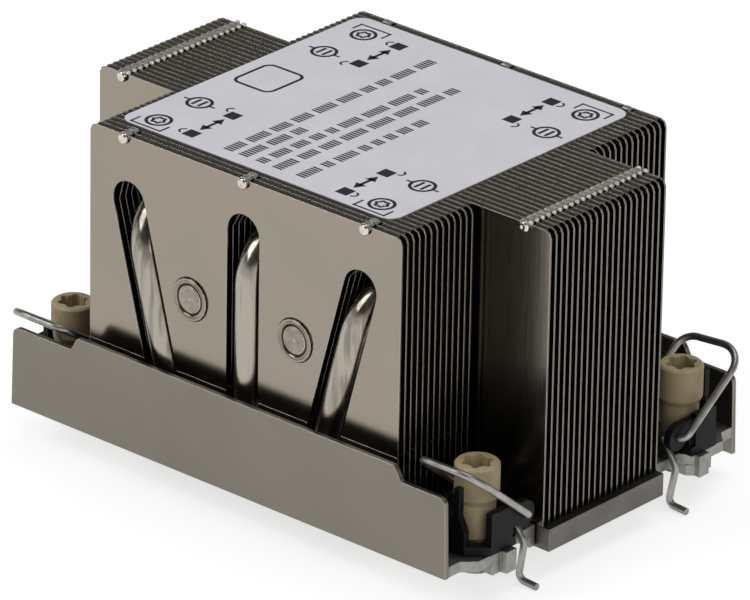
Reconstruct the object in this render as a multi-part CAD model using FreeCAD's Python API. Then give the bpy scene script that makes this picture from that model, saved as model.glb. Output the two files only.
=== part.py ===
"""Passive 2U server CPU heatsink: zipper-fin stack, five heat pipes, base and corner retention.

Units are millimetres.  X runs with the airflow, Y runs across the fins, Z is up.  The origin is
the centre of the cold-plate face that meets the processor.
"""
import FreeCAD, Part
import math
import os

V = FreeCAD.Vector

# ---- cold plate and base -------------------------------------------------------------------
CONTACT_T = 1.2            # cold plate thickness
CONTACT_X = 62.0           # cold plate length along X
CONTACT_Y = 38.0           # cold plate width along Y
CONTACT_R = 2.0            # rounded corners of the cold plate
BASE_T = 4.2               # base thickness
BASE_HALF_X = 53.4         # base arms reach this far along X
BASE_HALF_Y = 15.2         # half width of the base arms
CORE_HALF_X = 24.0         # half length of the wider middle of the base
CORE_HALF_Y = 20.0         # half width of the wider middle of the base
SHELF_T = 2.3              # thickness of the shelves that carry the side frames
SHELF_HALF_Y = 21.0        # shelves reach this far along Y

# ---- fin stack -----------------------------------------------------------------------------
FIN_PITCH = 1.5            # fin spacing
FIN_T = 0.34               # sheet thickness
FIN_TOP = 60.6             # height of the flange tops
SIDE_FIN_COUNT = 13        # fins in each of the short outer groups
CENTRE_FIN_COUNT = 21      # fins in the long middle group
SIDE_FIN_HALF_X = 35.8     # half length of the outer groups
CENTRE_FIN_HALF_X = 51.9   # half length of the middle group
SIDE_FIN_BOTTOM = 19.85    # outer groups start above the side frames
FIN_CORNER_R = 1.4         # rounded upper fin corners
FLANGE_T = 0.34            # thickness of the folded flanges
FLANGE_GAP = 0.3           # gap between a flange and the next fin
FLANGE_SLOT = 3.2          # length of the notch in a flange at each interlock
TAB_W = 1.9                # width of an interlock tab at its foot
TAB_TOP_W = 1.1            # width of an interlock tab at its top
TAB_H = 0.45               # height of an interlock tab above the flange
TAB_HOOK_R = 1.15          # rounded end of the first tab, which hangs over the front face
TAB_HOOK_STEPS = 6         # straight lengths around that end
SIDE_TAB_X = 27.7          # interlock rows on the outer groups, at 0 and at this distance
CENTRE_TAB_X = 46.3        # interlock rows on the middle group
TAB_HOOK_T = 0.3           # thickness of the overhanging part of the first tab
LOW_FLANGE_INSET = 1.0     # lower flanges stop this far from the fin ends
LOW_FLANGE_GAP = 0.4       # and this far from the pipe notch
NOTCH_CLEAR_X = 0.6        # room beside and above the pipes in the pipe notch
NOTCH_CLEAR_Z = 0.3
CORNER_STEPS = 2           # straight lengths in a rounded fin corner
FINE_SLOT_STEPS = 10       # straight lengths around a slot end, on the two end fins
SLOT_STEPS = 3             # and on the fins between
COLLAR_SIDE_COUNT = 18     # sides of a pipe hole and its collar, on the two end fins
HOLE_SIDE_COUNT = 5        # sides of a pipe hole, on the fins between

# ---- heat pipes ----------------------------------------------------------------------------
PIPE_R = 3.0               # heat pipe radius
PIPE_CLEAR = 0.06          # solder gap around a pipe
PIPE_AXIS_Z = 4.8          # height of the pipe axes in the base
PIPE_PITCH = 7.5           # pipe spacing in the base
PIPE_DEPTH = 2.3           # risers stand this far behind the outer fin face
PIPE_BEND_LOW = 15.0       # bend radius between base run and riser
PIPE_BEND_HIGH = 9.2       # bend radius between riser and fin run
PIPE_RUN_END = 15.0        # base runs stop this far past the middle
PIPE_TIP_TAPER = 0.5       # necked end of a pipe
PIPE_TIP_OUT = 0.25        # pipe ends stand this far proud of the fin face
MID_PIPE_Z = 49.0          # height of the middle fin run
OUTER_PIPE_X = 26.3        # place of the outer fin runs
OUTER_PIPE_Z = 47.0
INNER_PIPE_X = 12.1        # place of the runs that enter from the rear
INNER_PIPE_Z = 34.4
COLLAR_R = 3.85            # raised collar around a pipe end in the end fin
COLLAR_H = 0.35
SLOT_HALF_W = 3.72         # half width of the riser slots
SLOT_LEAD = 1.4            # slot arc centre above the pipe run
GROOVE_EXTRA = 0.3         # grooves run this far past the pipe ends

# ---- side frames ---------------------------------------------------------------------------
FRAME_FRONT_Y = -39.0      # outer face of the front wall
FRAME_REAR_Y = 38.4        # outer face of the rear wall
WALL_T = 0.9               # wall thickness
WALL_HALF_X = 50.6         # half length of a wall at its foot
WALL_DRAFT = 0.4           # a wall is this much shorter at its top, at each end
WALL_END_H = 15.0          # wall height at its ends
WALL_MID_H = 17.6          # wall height along its middle
WALL_STEP_W = 2.1          # length of the S-shaped step
WALL_STEP_LEFT = -36.6     # outer start of the left step
WALL_STEP_RIGHT = 40.6     # outer start of the right step
WALL_CORNER_R = 1.4        # rounded upper wall corners
WALL_CORNER_STEPS = 4      # straight lengths in a rounded wall corner
WALL_CURVE_STEPS = 6       # straight lengths in an S-shaped step
REAR_WALL_DROP = 3.2       # the rear wall hangs this much lower
FLOOR_T = 2.0              # thickness of the frame floor
FLOOR_INNER_X = 26.0       # floor pads start this far from the middle
FRAME_GAP = 0.3            # gap between the frames and the base arms
LIP_W = 1.8                # foot lip along the wall between the pads
LIP_LAP = 1.0              # the lip runs this far into each pad
PAD_INSET = 0.2            # pads stop this far inside the wall ends
RIB_W = 1.2                # rib along the inner edge of a pad
RIB_LEN = 4.1              # length of that rib
RIB_GAP = 0.3              # gap between that rib and the base shelf
EAR_X = 52.7               # ear end beside the nut
EAR_TIP_X = 54.0           # ear end at the locating pad
EAR_TIP_Y0 = 24.4          # locating pad, side nearer the middle
EAR_TIP_Y1 = 26.9          # locating pad, side nearer the wall
EAR_TIP_SLOPE = 1.2        # sloping flank of the locating pad, along X
EAR_ROOT_SLOPE = 1.6       # and along Y
EAR_STEP = 0.2             # small step beside the locating pad
EAR_CUT = 2.3              # diagonal of the ear beside the wall
EAR_WALL_GAP = 3.0         # the diagonal ends this far from the wall
BOSS_DROP = 2.0            # the nut boss reaches this far below the floor
BOSS_Y0 = 23.4             # side of the boss nearer the middle
BOSS_Y1 = 29.1             # side of the boss nearer the wall
BOSS_NOSE = 2.2            # nose of the boss towards the wall, height
BOSS_NOSE_X0 = 3.0         # and its ends beside the nut axis
BOSS_NOSE_X1 = 1.6
BOSS_X0 = 5.0              # the boss reaches this far inward from the nut axis
BOSS_X1 = 3.0              # its wall side ends this far outward from the nut axis

# ---- screws between base and frames ---------------------------------------------------------
SCREW_X = 36.0
SCREW_Y = 18.3
SCREW_R = 1.45
SCREW_HEAD_R = 2.6
SCREW_CLEAR = 0.05
SCREW_SHORT = 0.2          # screws end this far below the floor's upper face
SCREW_KEY_R = 1.1          # six-sided key recess, corner radius
SCREW_KEY_DEPTH = 0.8

# ---- captive nuts ----------------------------------------------------------------------------
NUT_X = 47.0               # nut positions
NUT_Y = 27.0
NUT_R = 3.95               # head radius
NUT_LOW_R = 3.35           # shank radius
NUT_NECK_R = 2.7           # neck through the ear
NUT_TOP = 20.5             # height of the nut tops
NUT_HEAD_H = 6.0           # height of the wide head
NUT_TAPER_H = 1.2
NUT_NECK_END = 0.5         # lower end of the neck
NUT_CHAMFER = 0.35         # chamfer around the nut top
NECK_CHAMFER = 0.3         # chamfer at the lower end of the neck
SOCKET_R = 2.85            # outer radius of the six-lobe socket
SOCKET_LOBE_R = 0.75
SOCKET_CORE_R = 2.25
SOCKET_DEPTH = 4.2
THREAD_R = 1.65
THREAD_DEPTH = 9.0
NUT_RUN = 0.1              # axial running gap of the nut
WASHER_R = 3.8
WASHER_T = 1.6
NECK_CLEAR = 0.1           # radial clearance around the neck
CLIP_T = 0.4
CLIP_R = 3.7
CLIP_GROOVE = 0.4          # depth of the clip groove in the neck
CLIP_MOUTH = 3.0           # open side of the clip

# ---- wire holders ----------------------------------------------------------------------------
HOLDER_T = 1.7             # holder plate thickness
HOLDER_X0 = 41.9           # plate side nearer the middle
HOLDER_X1 = 52.9           # plate end
HOLDER_Y0 = 18.0           # plate side nearer the base
HOLDER_Y1 = 33.2           # plate side nearer the wall
HOLDER_CUT_IN = 1.8        # corner cuts of the plate beside the wall
HOLDER_CUT_OUT = 3.2
HOLDER_BORE_CLEAR = 0.35   # gap between the holder and the washer
HINGE_Y = 20.4             # hinge axis of the wire
HINGE_Z = 10.0
LUG_R = 2.4                # rounded hinge lugs
LUG_T = 1.4
LUG_OUTER_X = 50.9         # outer lug starts here
LUG_ARM_LOW = 1.5          # the arm of the outer lug reaches this far below the hinge axis
LUG_FOOT_Y = 25.9          # the foot of the outer lug ends here
HOOK_BAY_X = 48.7          # open bay in the plate for the swinging hook
HOOK_BAY_Y = 23.4
LUG_CLEAR = 0.06           # running clearance of the wire in a lug
POST_X = 47.8              # slim guide post beside the nut
POST_W = 1.2
POST_TOP = 17.7
END_WALL_T = 1.3
END_WALL_Y1 = 29.8         # the end wall ends here, towards the side wall
END_WALL_TOP = 13.2
RIB_TOP = 12.6             # sloping rib, high end
RIB_LOW = 8.4              # sloping rib, low end
RIB_END = 10.0             # sloping rib, end away from the middle
PRONGS = ((50.0, 31.7), (43.5, 19.6))  # snap prong and locating prong, through the ear
PRONG_R = 0.9
PRONG_DROP = 0.9           # prong head below the ear floor
PRONG_HEAD_R = 1.25
PRONG_TIP_R = 0.7
PRONG_CLEAR = 0.05

# ---- wire bails --------------------------------------------------------------------------------
WIRE_R = 0.65              # steel wire radius
BAIL_ANGLE = 36.5          # bail leans this far above horizontal, outwards
BAIL_OUTER_X = 53.7        # outer leg
BAIL_INNER_X = 40.5        # inner leg
BAIL_OUTER_LEN = 19.9      # hinge axis to outer corner
BAIL_INNER_LEN = 18.8      # hinge axis to inner corner
BAIL_INNER_R = 3.2         # bend of the loop on the inner leg
BAIL_OUTER_R = 4.6         # bend of the loop on the outer leg
BAIL_STUB_R = 1.0          # bend between the inner leg and its stub
BAIL_ROOT_R = 1.6          # bends between the legs and the hinge axis
STUB_END_X = 44.4          # inner hinge stub ends here
HOOK_TOP_X = 47.9          # where the wire leaves the hinge axis
HOOK_KNEE = (52.2, 20.1, 4.4)
HOOK_FOOT = (51.0, 19.7, -2.75)
HOOK_TIP_X = 55.2
HOOK_TIP_DROP = 0.25
HOOK_TOP_R = 0.9
HOOK_KNEE_R = 2.0
HOOK_BEND_R = 1.3

# ---- label -------------------------------------------------------------------------------------
LABEL_T = 0.12
LABEL_X0 = -33.2
LABEL_X1 = 29.7
LABEL_Y0 = -30.4
LABEL_Y1 = 32.5
LABEL_R = 2.6

# ---- derived heights and places ------------------------------------------------------------------
BASE_TOP = CONTACT_T + BASE_T
FLOOR_INNER_Y = BASE_HALF_Y + FRAME_GAP
PAD_END_X = WALL_HALF_X - PAD_INSET
RIB_X0 = PAD_END_X - RIB_LEN
SHELF_HALF_X = RIB_X0 - RIB_GAP
FLOOR_Z = CONTACT_T + SHELF_T
FLOOR_TOP = FLOOR_Z + FLOOR_T
FIN_COUNT = 2 * SIDE_FIN_COUNT + CENTRE_FIN_COUNT
FIN_Y0 = -0.5 * FIN_PITCH * (FIN_COUNT - 1)
FACE_Y = -FIN_Y0 + 0.5 * FIN_T
RISER_Y = FACE_Y - PIPE_DEPTH
NOTCH_TOP = PIPE_AXIS_Z + PIPE_R + NOTCH_CLEAR_Z
NOTCH_HALF_X = 2.0 * PIPE_PITCH + PIPE_R + NOTCH_CLEAR_X
CORNERS = (("fl", -1, -1), ("fr", 1, -1), ("rl", -1, 1), ("rr", 1, 1))
BAIL_LEAN = {"fl": -4.5, "fr": 2.5, "rl": 0.0, "rr": 0.0}  # degrees that each bail rests away from BAIL_ANGLE


def box(x0, x1, y0, y1, z0, z1):
    """Axis-aligned block between two corners."""
    low = V(min(x0, x1), min(y0, y1), min(z0, z1))
    return Part.makeBox(abs(x1 - x0), abs(y1 - y0), abs(z1 - z0), low)


def cylinder(r, h, x, y, z, axis=V(0, 0, 1)):
    """Cylinder that starts at (x, y, z) and runs along axis."""
    return Part.makeCylinder(r, h, V(x, y, z), axis)


def prism(points, height, direction):
    """Straight extrusion of a closed polygon."""
    wire = Part.makePolygon(list(points) + [points[0]])
    return Part.Face(wire).extrude(direction * height)


def tube(points, radii, r):
    """Round bar along a polyline whose corners are bent to the given centre-line radii."""
    edges = []
    start = points[0]
    for i in range(1, len(points) - 1):
        a, b, c = points[i - 1], points[i], points[i + 1]
        u = (a - b).normalize()
        w = (c - b).normalize()
        half = 0.5 * u.getAngle(w)
        reach = radii[i - 1] / math.tan(half)
        p = b + u * reach
        q = b + w * reach
        bisector = (u + w).normalize()
        centre = b + bisector * (radii[i - 1] / math.sin(half))
        middle = centre - bisector * radii[i - 1]
        edges.append(Part.LineSegment(start, p).toShape())
        edges.append(Part.Arc(p, middle, q).toShape())
        start = q
    edges.append(Part.LineSegment(start, points[-1]).toShape())
    spine = Part.Wire(edges)
    heading = (points[1] - points[0]).normalize()
    profile = Part.Wire([Part.makeCircle(r, points[0], heading)])
    return spine.makePipeShell([profile], True, False)


def arc_points(cx, cz, r, start, end, segments):
    """Points of an arc in the XZ plane, angles in degrees."""
    out = []
    for i in range(segments + 1):
        t = math.radians(start + (end - start) * i / segments)
        out.append((cx + r * math.cos(t), cz + r * math.sin(t)))
    return out


def at_corner(shape, sx, sy):
    """Mirror a shape made for the +X +Y corner to another corner."""
    out = shape
    if sx < 0:
        out = out.mirror(V(0, 0, 0), V(1, 0, 0))
    if sy < 0:
        out = out.mirror(V(0, 0, 0), V(0, 1, 0))
    return out


# ---- heat pipes ------------------------------------------------------------------------------------
def pipe_path(x_low, x_high, z_high, side, extra):
    """Corner points of one pipe that bends up at the given side (-1 front, 1 rear)."""
    return [
        V(x_low, -side * (PIPE_RUN_END + extra), PIPE_AXIS_Z),
        V(x_low, side * RISER_Y, PIPE_AXIS_Z),
        V(x_high, side * RISER_Y, z_high),
        V(x_high, -side * (FACE_Y + PIPE_TIP_OUT), z_high),
    ]


PIPES = {
    "heat_pipe_front_left": (-2 * PIPE_PITCH, -OUTER_PIPE_X, OUTER_PIPE_Z, -1),
    "heat_pipe_front_mid": (0.0, 0.0, MID_PIPE_Z, -1),
    "heat_pipe_front_right": (2 * PIPE_PITCH, OUTER_PIPE_X, OUTER_PIPE_Z, -1),
    "heat_pipe_rear_left": (-PIPE_PITCH, -INNER_PIPE_X, INNER_PIPE_Z, 1),
    "heat_pipe_rear_right": (PIPE_PITCH, INNER_PIPE_X, INNER_PIPE_Z, 1),
}


def heat_pipe(x_low, x_high, z_high, side):
    """Bent pipe with a necked, sealed end."""
    points = pipe_path(x_low, x_high, z_high, side, 0.0)
    tip = points[-1]
    points[-1] = tip + V(0, side * PIPE_TIP_TAPER, 0)
    body = tube(points, (PIPE_BEND_LOW, PIPE_BEND_HIGH), PIPE_R)
    neck = Part.makeCone(PIPE_R, PIPE_R - PIPE_TIP_TAPER, PIPE_TIP_TAPER, points[-1], V(0, -side, 0))
    return body.fuse(neck).removeSplitter()


def pipe_groove(x_low, x_high, z_high, side):
    """Space that a pipe takes in the base."""
    points = pipe_path(x_low, x_high, z_high, side, GROOVE_EXTRA)
    return tube(points, (PIPE_BEND_LOW, PIPE_BEND_HIGH), PIPE_R + PIPE_CLEAR)


# ---- base ------------------------------------------------------------------------------------------
def base_plate():
    """Base with wide middle, shelves, pipe grooves and screw holes."""
    body = box(-BASE_HALF_X, BASE_HALF_X, -BASE_HALF_Y, BASE_HALF_Y, CONTACT_T, BASE_TOP)
    body = body.fuse(box(-CORE_HALF_X, CORE_HALF_X, -CORE_HALF_Y, CORE_HALF_Y, CONTACT_T, BASE_TOP))
    body = body.fuse(box(-SHELF_HALF_X, SHELF_HALF_X, -SHELF_HALF_Y, SHELF_HALF_Y,
                         CONTACT_T, CONTACT_T + SHELF_T))
    body = body.removeSplitter()
    for spec in PIPES.values():
        body = body.cut(pipe_groove(*spec))
    for _, sx, sy in CORNERS:
        x, y = sx * SCREW_X, sy * SCREW_Y
        body = body.cut(cylinder(SCREW_R + SCREW_CLEAR, SHELF_T, x, y, CONTACT_T))
        body = body.cut(Part.makeCone(SCREW_HEAD_R + SCREW_CLEAR, SCREW_R + SCREW_CLEAR,
                                      SCREW_HEAD_R - SCREW_R, V(x, y, CONTACT_T)))
    return body


def contact_plate():
    """Cold plate under the base, with softened vertical corners."""
    body = box(-0.5 * CONTACT_X, 0.5 * CONTACT_X, -0.5 * CONTACT_Y, 0.5 * CONTACT_Y, 0.0, CONTACT_T)
    upright = [e for e in body.Edges if abs(e.BoundBox.ZLength - CONTACT_T) < 1e-6]
    return body.makeFillet(CONTACT_R, upright)


def frame_screw(sx, sy):
    """Countersunk screw, driven from below through the shelf into the frame floor."""
    x, y = sx * SCREW_X, sy * SCREW_Y
    head = Part.makeCone(SCREW_HEAD_R, SCREW_R, SCREW_HEAD_R - SCREW_R, V(x, y, CONTACT_T))
    shank = cylinder(SCREW_R, SHELF_T + FLOOR_T - SCREW_SHORT, x, y, CONTACT_T)
    outline = []
    for k in range(6):
        a = math.radians(60 * k)
        outline.append(V(x + SCREW_KEY_R * math.cos(a), y + SCREW_KEY_R * math.sin(a), CONTACT_T))
    recess = prism(outline, SCREW_KEY_DEPTH, V(0, 0, 1))
    return head.fuse(shank).cut(recess).removeSplitter()


# ---- fins -------------------------------------------------------------------------------------------
def slot_outline(x_low, x_high, z_high, z_bottom, segments):
    """Open-bottomed riser slot, listed from its lower left to its lower right."""
    dx = x_high - x_low
    dz = z_high - PIPE_AXIS_Z
    length = math.hypot(dx, dz)
    dx, dz = dx / length, dz / length
    cx, cz = x_high + dx * SLOT_LEAD, z_high + dz * SLOT_LEAD
    lean = math.degrees(math.atan2(dz, dx))
    arc = arc_points(cx, cz, SLOT_HALF_W, lean + 90, lean - 90, segments)
    run = (cz - z_bottom) / dz
    left = (cx - SLOT_HALF_W / dz - dx * run, z_bottom)
    right = (cx + SLOT_HALF_W / dz - dx * run, z_bottom)
    return [left] + arc + [right]


def fin_outline(half_x, z_bottom, cuts):
    """Sheet outline with rounded upper corners and cuts along its lower edge."""
    r = FIN_CORNER_R
    points = [(-half_x, z_bottom)]
    for cut in cuts:
        points += cut
    points.append((half_x, z_bottom))
    points += arc_points(half_x - r, FIN_TOP - r, r, 0, 90, CORNER_STEPS)
    points += arc_points(-half_x + r, FIN_TOP - r, r, 90, 180, CORNER_STEPS)
    return points


def round_outline(x, z, r, sides):
    """Regular outline whose flats touch a circle of radius r."""
    corner_r = r / math.cos(math.pi / sides)
    return arc_points(x, z, corner_r, 180.0 / sides, 360.0 + 180.0 / sides, sides)[:-1]


def hole_outline(x, z, sides):
    """Clearance hole around a pipe run."""
    return round_outline(x, z, PIPE_R + PIPE_CLEAR, sides)


def sheet(outline, holes, y0, y1):
    """Flat upright sheet with holes, between two places along Y."""
    outer = Part.makePolygon([V(x, y0, z) for x, z in outline + outline[:1]])
    inner = [Part.makePolygon([V(x, y0, z) for x, z in h + h[:1]]) for h in holes]
    face = Part.makeFace([outer] + inner, "Part::FaceMakerBullseye")
    return face.extrude(V(0, y1 - y0, 0))


def collar(x, z, outward):
    """Raised collar around a pipe end, on the outer face of an end fin."""
    rim = round_outline(x, z, COLLAR_R, COLLAR_SIDE_COUNT)
    hole = hole_outline(x, z, COLLAR_SIDE_COUNT)
    return sheet(rim, [hole], outward * FACE_Y, outward * (FACE_Y + COLLAR_H))


def flange(x0, x1, y, z0, z1):
    """Folded flange that reaches back to the next fin."""
    y0 = y + 0.5 * FIN_T
    y1 = y + FIN_PITCH - 0.5 * FIN_T - FLANGE_GAP
    return box(x0, x1, y0, y1, z0, z1)


def spans(half_x, tabs):
    """Flange lengths between the interlock notches."""
    edges = [-half_x + FIN_CORNER_R]
    for x in sorted(tabs):
        edges += [x - 0.5 * FLANGE_SLOT, x + 0.5 * FLANGE_SLOT]
    edges.append(half_x - FIN_CORNER_R)
    return [(edges[i], edges[i + 1]) for i in range(0, len(edges), 2)]


def interlock(x, y, first):
    """Raised tab that locks one fin to the next; the first one hangs over the face."""
    y0 = y - 0.5 * FIN_T
    y1 = y + FIN_PITCH - 0.5 * FIN_T - FLANGE_GAP
    top = FIN_TOP + TAB_H
    crown = [(x + 0.5 * TAB_W, FIN_TOP), (x + 0.5 * TAB_TOP_W, top),
             (x - 0.5 * TAB_TOP_W, top), (x - 0.5 * TAB_W, FIN_TOP)]
    foot = [(x - 0.5 * TAB_W, FIN_TOP - FLANGE_T), (x + 0.5 * TAB_W, FIN_TOP - FLANGE_T)]
    tab = prism([V(px, y0, pz) for px, pz in crown + foot], y1 - y0, V(0, 1, 0))
    if first:
        tongue = arc_points(x, FIN_TOP, TAB_HOOK_R, 180, 360, TAB_HOOK_STEPS)
        hook = prism([V(px, y0, pz) for px, pz in tongue + crown], TAB_HOOK_T, V(0, -1, 0))
        tab = tab.fuse(hook)
    return tab


def under_label(x, y):
    """True where the label lies over an interlock."""
    return LABEL_X0 - TAB_W < x < LABEL_X1 + TAB_W and LABEL_Y0 - FIN_PITCH < y < LABEL_Y1 + FIN_T


def pipe_cuts(index):
    """Slots and holes of fin number index, with its lower edge height and half length."""
    last = FIN_COUNT - 1
    front = index < SIDE_FIN_COUNT
    rear = index > last - SIDE_FIN_COUNT
    fine = index in (0, last)
    bottom = SIDE_FIN_BOTTOM if front or rear else BASE_TOP
    cuts = []
    holes = []
    for x_low, x_high, z_high, side in sorted(PIPES.values()):
        slotted = (front and side < 0) or (rear and side > 0)
        if slotted:
            steps = FINE_SLOT_STEPS if fine else SLOT_STEPS
            cuts.append(slot_outline(x_low, x_high, z_high, bottom, steps))
        else:
            holes.append(hole_outline(x_high, z_high, COLLAR_SIDE_COUNT if fine else HOLE_SIDE_COUNT))
    if not (front or rear):
        w = NOTCH_HALF_X
        cuts = [[(-w, bottom), (-w, NOTCH_TOP), (w, NOTCH_TOP), (w, bottom)]]
    return cuts, holes, bottom


def fin(index):
    """One folded fin: sheet, upper flange, lower flange and interlock tabs."""
    y = FIN_Y0 + FIN_PITCH * index
    last = FIN_COUNT - 1
    side = index < SIDE_FIN_COUNT or index > last - SIDE_FIN_COUNT
    half = SIDE_FIN_HALF_X if side else CENTRE_FIN_HALF_X
    tabs = [-SIDE_TAB_X, 0.0, SIDE_TAB_X]
    if not side:
        tabs += [-CENTRE_TAB_X, CENTRE_TAB_X]
    cuts, holes, bottom = pipe_cuts(index)
    pieces = [sheet(fin_outline(half, bottom, cuts), holes, y - 0.5 * FIN_T, y + 0.5 * FIN_T)]
    if index < last:
        reach = SIDE_FIN_HALF_X if index == last - SIDE_FIN_COUNT else half
        row = [x for x in tabs if abs(x) < reach]
        row = [x for x in row if not under_label(x, y)]
        for x0, x1 in spans(reach, row):
            pieces.append(flange(x0, x1, y, FIN_TOP - FLANGE_T, FIN_TOP))
        for x in row:
            first = index == 0 or (index == SIDE_FIN_COUNT and abs(x) > SIDE_FIN_HALF_X)
            pieces.append(interlock(x, y, first))
        if not side and index < last - SIDE_FIN_COUNT:
            for sx in (-1, 1):
                x0 = sx * (half - LOW_FLANGE_INSET)
                x1 = sx * (NOTCH_HALF_X + LOW_FLANGE_GAP)
                pieces.append(flange(x0, x1, y, bottom, bottom + FLANGE_T))
    body = pieces[0].multiFuse(pieces[1:]) if len(pieces) > 1 else pieces[0]
    if index in (0, last):
        outward = -1 if index == 0 else 1
        for _, x, z, s in PIPES.values():
            if s != outward:
                body = body.fuse(collar(x, z, outward))
    return body


def fin_group(start, stop):
    """Fins start..stop-1 as separate solids of one node."""
    return Part.makeCompound([fin(i) for i in range(start, stop)])


# ---- side frames ---------------------------------------------------------------------------------
def wall_face(y, z_foot):
    """Wall profile with its two S-shaped steps and rounded upper corners."""
    low = z_foot + WALL_END_H
    high = z_foot + WALL_MID_H
    top_x = WALL_HALF_X - WALL_DRAFT
    r = WALL_CORNER_R
    half = 0.5 * (high - low)
    points = [(-WALL_HALF_X, z_foot), (WALL_HALF_X, z_foot)]
    points += arc_points(top_x - r, low - r, r, 0, 90, WALL_CORNER_STEPS)
    for x, way in ((WALL_STEP_RIGHT, -1), (WALL_STEP_LEFT, 1)):
        steps = []
        for k in range(WALL_CURVE_STEPS + 1):
            t = k / WALL_CURVE_STEPS
            steps.append((x + way * WALL_STEP_W * t, low + half * (1 - math.cos(math.pi * t))))
        points += steps if way < 0 else steps[::-1]
    points += arc_points(-top_x + r, low - r, r, 90, 180, WALL_CORNER_STEPS)
    return [V(px, y, pz) for px, pz in points]


def ear_pad(wall_inner):
    """Floor pad and ear of the +X +Y corner."""
    end = PAD_END_X
    tip = [
        (EAR_TIP_X - EAR_TIP_SLOPE, EAR_TIP_Y0), (EAR_TIP_X, EAR_TIP_Y0),
        (EAR_TIP_X, EAR_TIP_Y1), (EAR_X, EAR_TIP_Y1 + EAR_STEP),
    ]
    wall_mid = wall_inner + 0.5 * WALL_T
    outline = [(FLOOR_INNER_X, FLOOR_INNER_Y), (end, FLOOR_INNER_Y), (end, EAR_TIP_Y0 - EAR_ROOT_SLOPE)]
    outline += tip
    outline += [
        (EAR_X, wall_inner - EAR_WALL_GAP - EAR_CUT), (end, wall_inner - EAR_WALL_GAP),
        (end, wall_mid), (FLOOR_INNER_X, wall_mid),
    ]
    pad = prism([V(x, y, FLOOR_Z) for x, y in outline], FLOOR_T, V(0, 0, 1))
    boss_outline = [(NUT_X - BOSS_X0, BOSS_Y0), (EAR_TIP_X - 2.0 * EAR_TIP_SLOPE, BOSS_Y0)]
    boss_outline += tip
    boss_outline += [
        (EAR_X, BOSS_Y1), (NUT_X + BOSS_X1, BOSS_Y1), (NUT_X + BOSS_NOSE_X1, BOSS_Y1 + BOSS_NOSE),
        (NUT_X - BOSS_NOSE_X0, BOSS_Y1 + BOSS_NOSE), (NUT_X - BOSS_X0, BOSS_Y1),
    ]
    boss = prism([V(x, y, FLOOR_Z - BOSS_DROP) for x, y in boss_outline], BOSS_DROP, V(0, 0, 1))
    rib = box(RIB_X0, end, FLOOR_INNER_Y, FLOOR_INNER_Y + RIB_W,
              FLOOR_Z - BOSS_DROP, FLOOR_Z)
    body = pad.fuse(boss).fuse(rib)
    drop = FLOOR_T + BOSS_DROP
    body = body.cut(cylinder(NUT_NECK_R + NECK_CLEAR, drop, NUT_X, NUT_Y, FLOOR_Z - BOSS_DROP))
    for x, y in PRONGS:
        body = body.cut(cylinder(PRONG_R + PRONG_CLEAR, FLOOR_T, x, y, FLOOR_Z))
    body = body.cut(cylinder(SCREW_R + SCREW_CLEAR, FLOOR_T, SCREW_X, SCREW_Y, FLOOR_Z))
    return body


def side_frame(side):
    """Long wall with its foot lip and the two corner ears it carries."""
    outer = FRAME_FRONT_Y if side < 0 else FRAME_REAR_Y
    inner = abs(outer) - WALL_T
    foot = FLOOR_Z if side < 0 else FLOOR_Z - REAR_WALL_DROP
    wall = prism(wall_face(outer, foot), WALL_T, V(0, -side, 0))
    reach = FLOOR_INNER_X + LIP_LAP
    lip = box(-reach, reach, side * inner, side * (inner - LIP_W), FLOOR_Z, FLOOR_TOP)
    pads = [at_corner(ear_pad(inner), sx, side) for sx in (-1, 1)]
    return wall.multiFuse([lip] + pads).removeSplitter()


# ---- captive nuts ----------------------------------------------------------------------------------
def six_lobe(z, depth):
    """Six-lobe drive recess."""
    core = cylinder(SOCKET_CORE_R, depth, NUT_X, NUT_Y, z)
    for k in range(6):
        a = math.radians(60 * k)
        reach = SOCKET_R - SOCKET_LOBE_R
        core = core.fuse(cylinder(SOCKET_LOBE_R, depth, NUT_X + reach * math.cos(a),
                                  NUT_Y + reach * math.sin(a), z))
    return core.removeSplitter()


def nut():
    """Moulded captive nut of the +X +Y corner."""
    head_z = NUT_TOP - NUT_HEAD_H
    shoulder = FLOOR_TOP + WASHER_T + NUT_RUN
    groove_top = FLOOR_Z - BOSS_DROP - NUT_RUN
    groove_low = groove_top - CLIP_T
    profile = [
        (0, NUT_NECK_END), (NUT_NECK_R - NECK_CHAMFER, NUT_NECK_END),
        (NUT_NECK_R, NUT_NECK_END + NECK_CHAMFER),
        (NUT_NECK_R, groove_low), (NUT_NECK_R - CLIP_GROOVE, groove_low),
        (NUT_NECK_R - CLIP_GROOVE, groove_top), (NUT_NECK_R, groove_top), (NUT_NECK_R, shoulder),
        (NUT_LOW_R, shoulder), (NUT_LOW_R, head_z - NUT_TAPER_H), (NUT_R, head_z),
        (NUT_R, NUT_TOP - NUT_CHAMFER), (NUT_R - NUT_CHAMFER, NUT_TOP), (0, NUT_TOP),
    ]
    points = [V(NUT_X + r, NUT_Y, z) for r, z in profile]
    wire = Part.makePolygon(points + points[:1])
    body = Part.Face(wire).revolve(V(NUT_X, NUT_Y, 0), V(0, 0, 1), 360)
    body = body.cut(six_lobe(NUT_TOP - SOCKET_DEPTH, SOCKET_DEPTH))
    body = body.cut(cylinder(THREAD_R, THREAD_DEPTH, NUT_X, NUT_Y, NUT_NECK_END))
    return body


def nut_washer():
    """Spacer ring between ear and nut."""
    ring = cylinder(WASHER_R, WASHER_T, NUT_X, NUT_Y, FLOOR_TOP)
    return ring.cut(cylinder(NUT_NECK_R + NECK_CLEAR, WASHER_T, NUT_X, NUT_Y, FLOOR_TOP))


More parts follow.
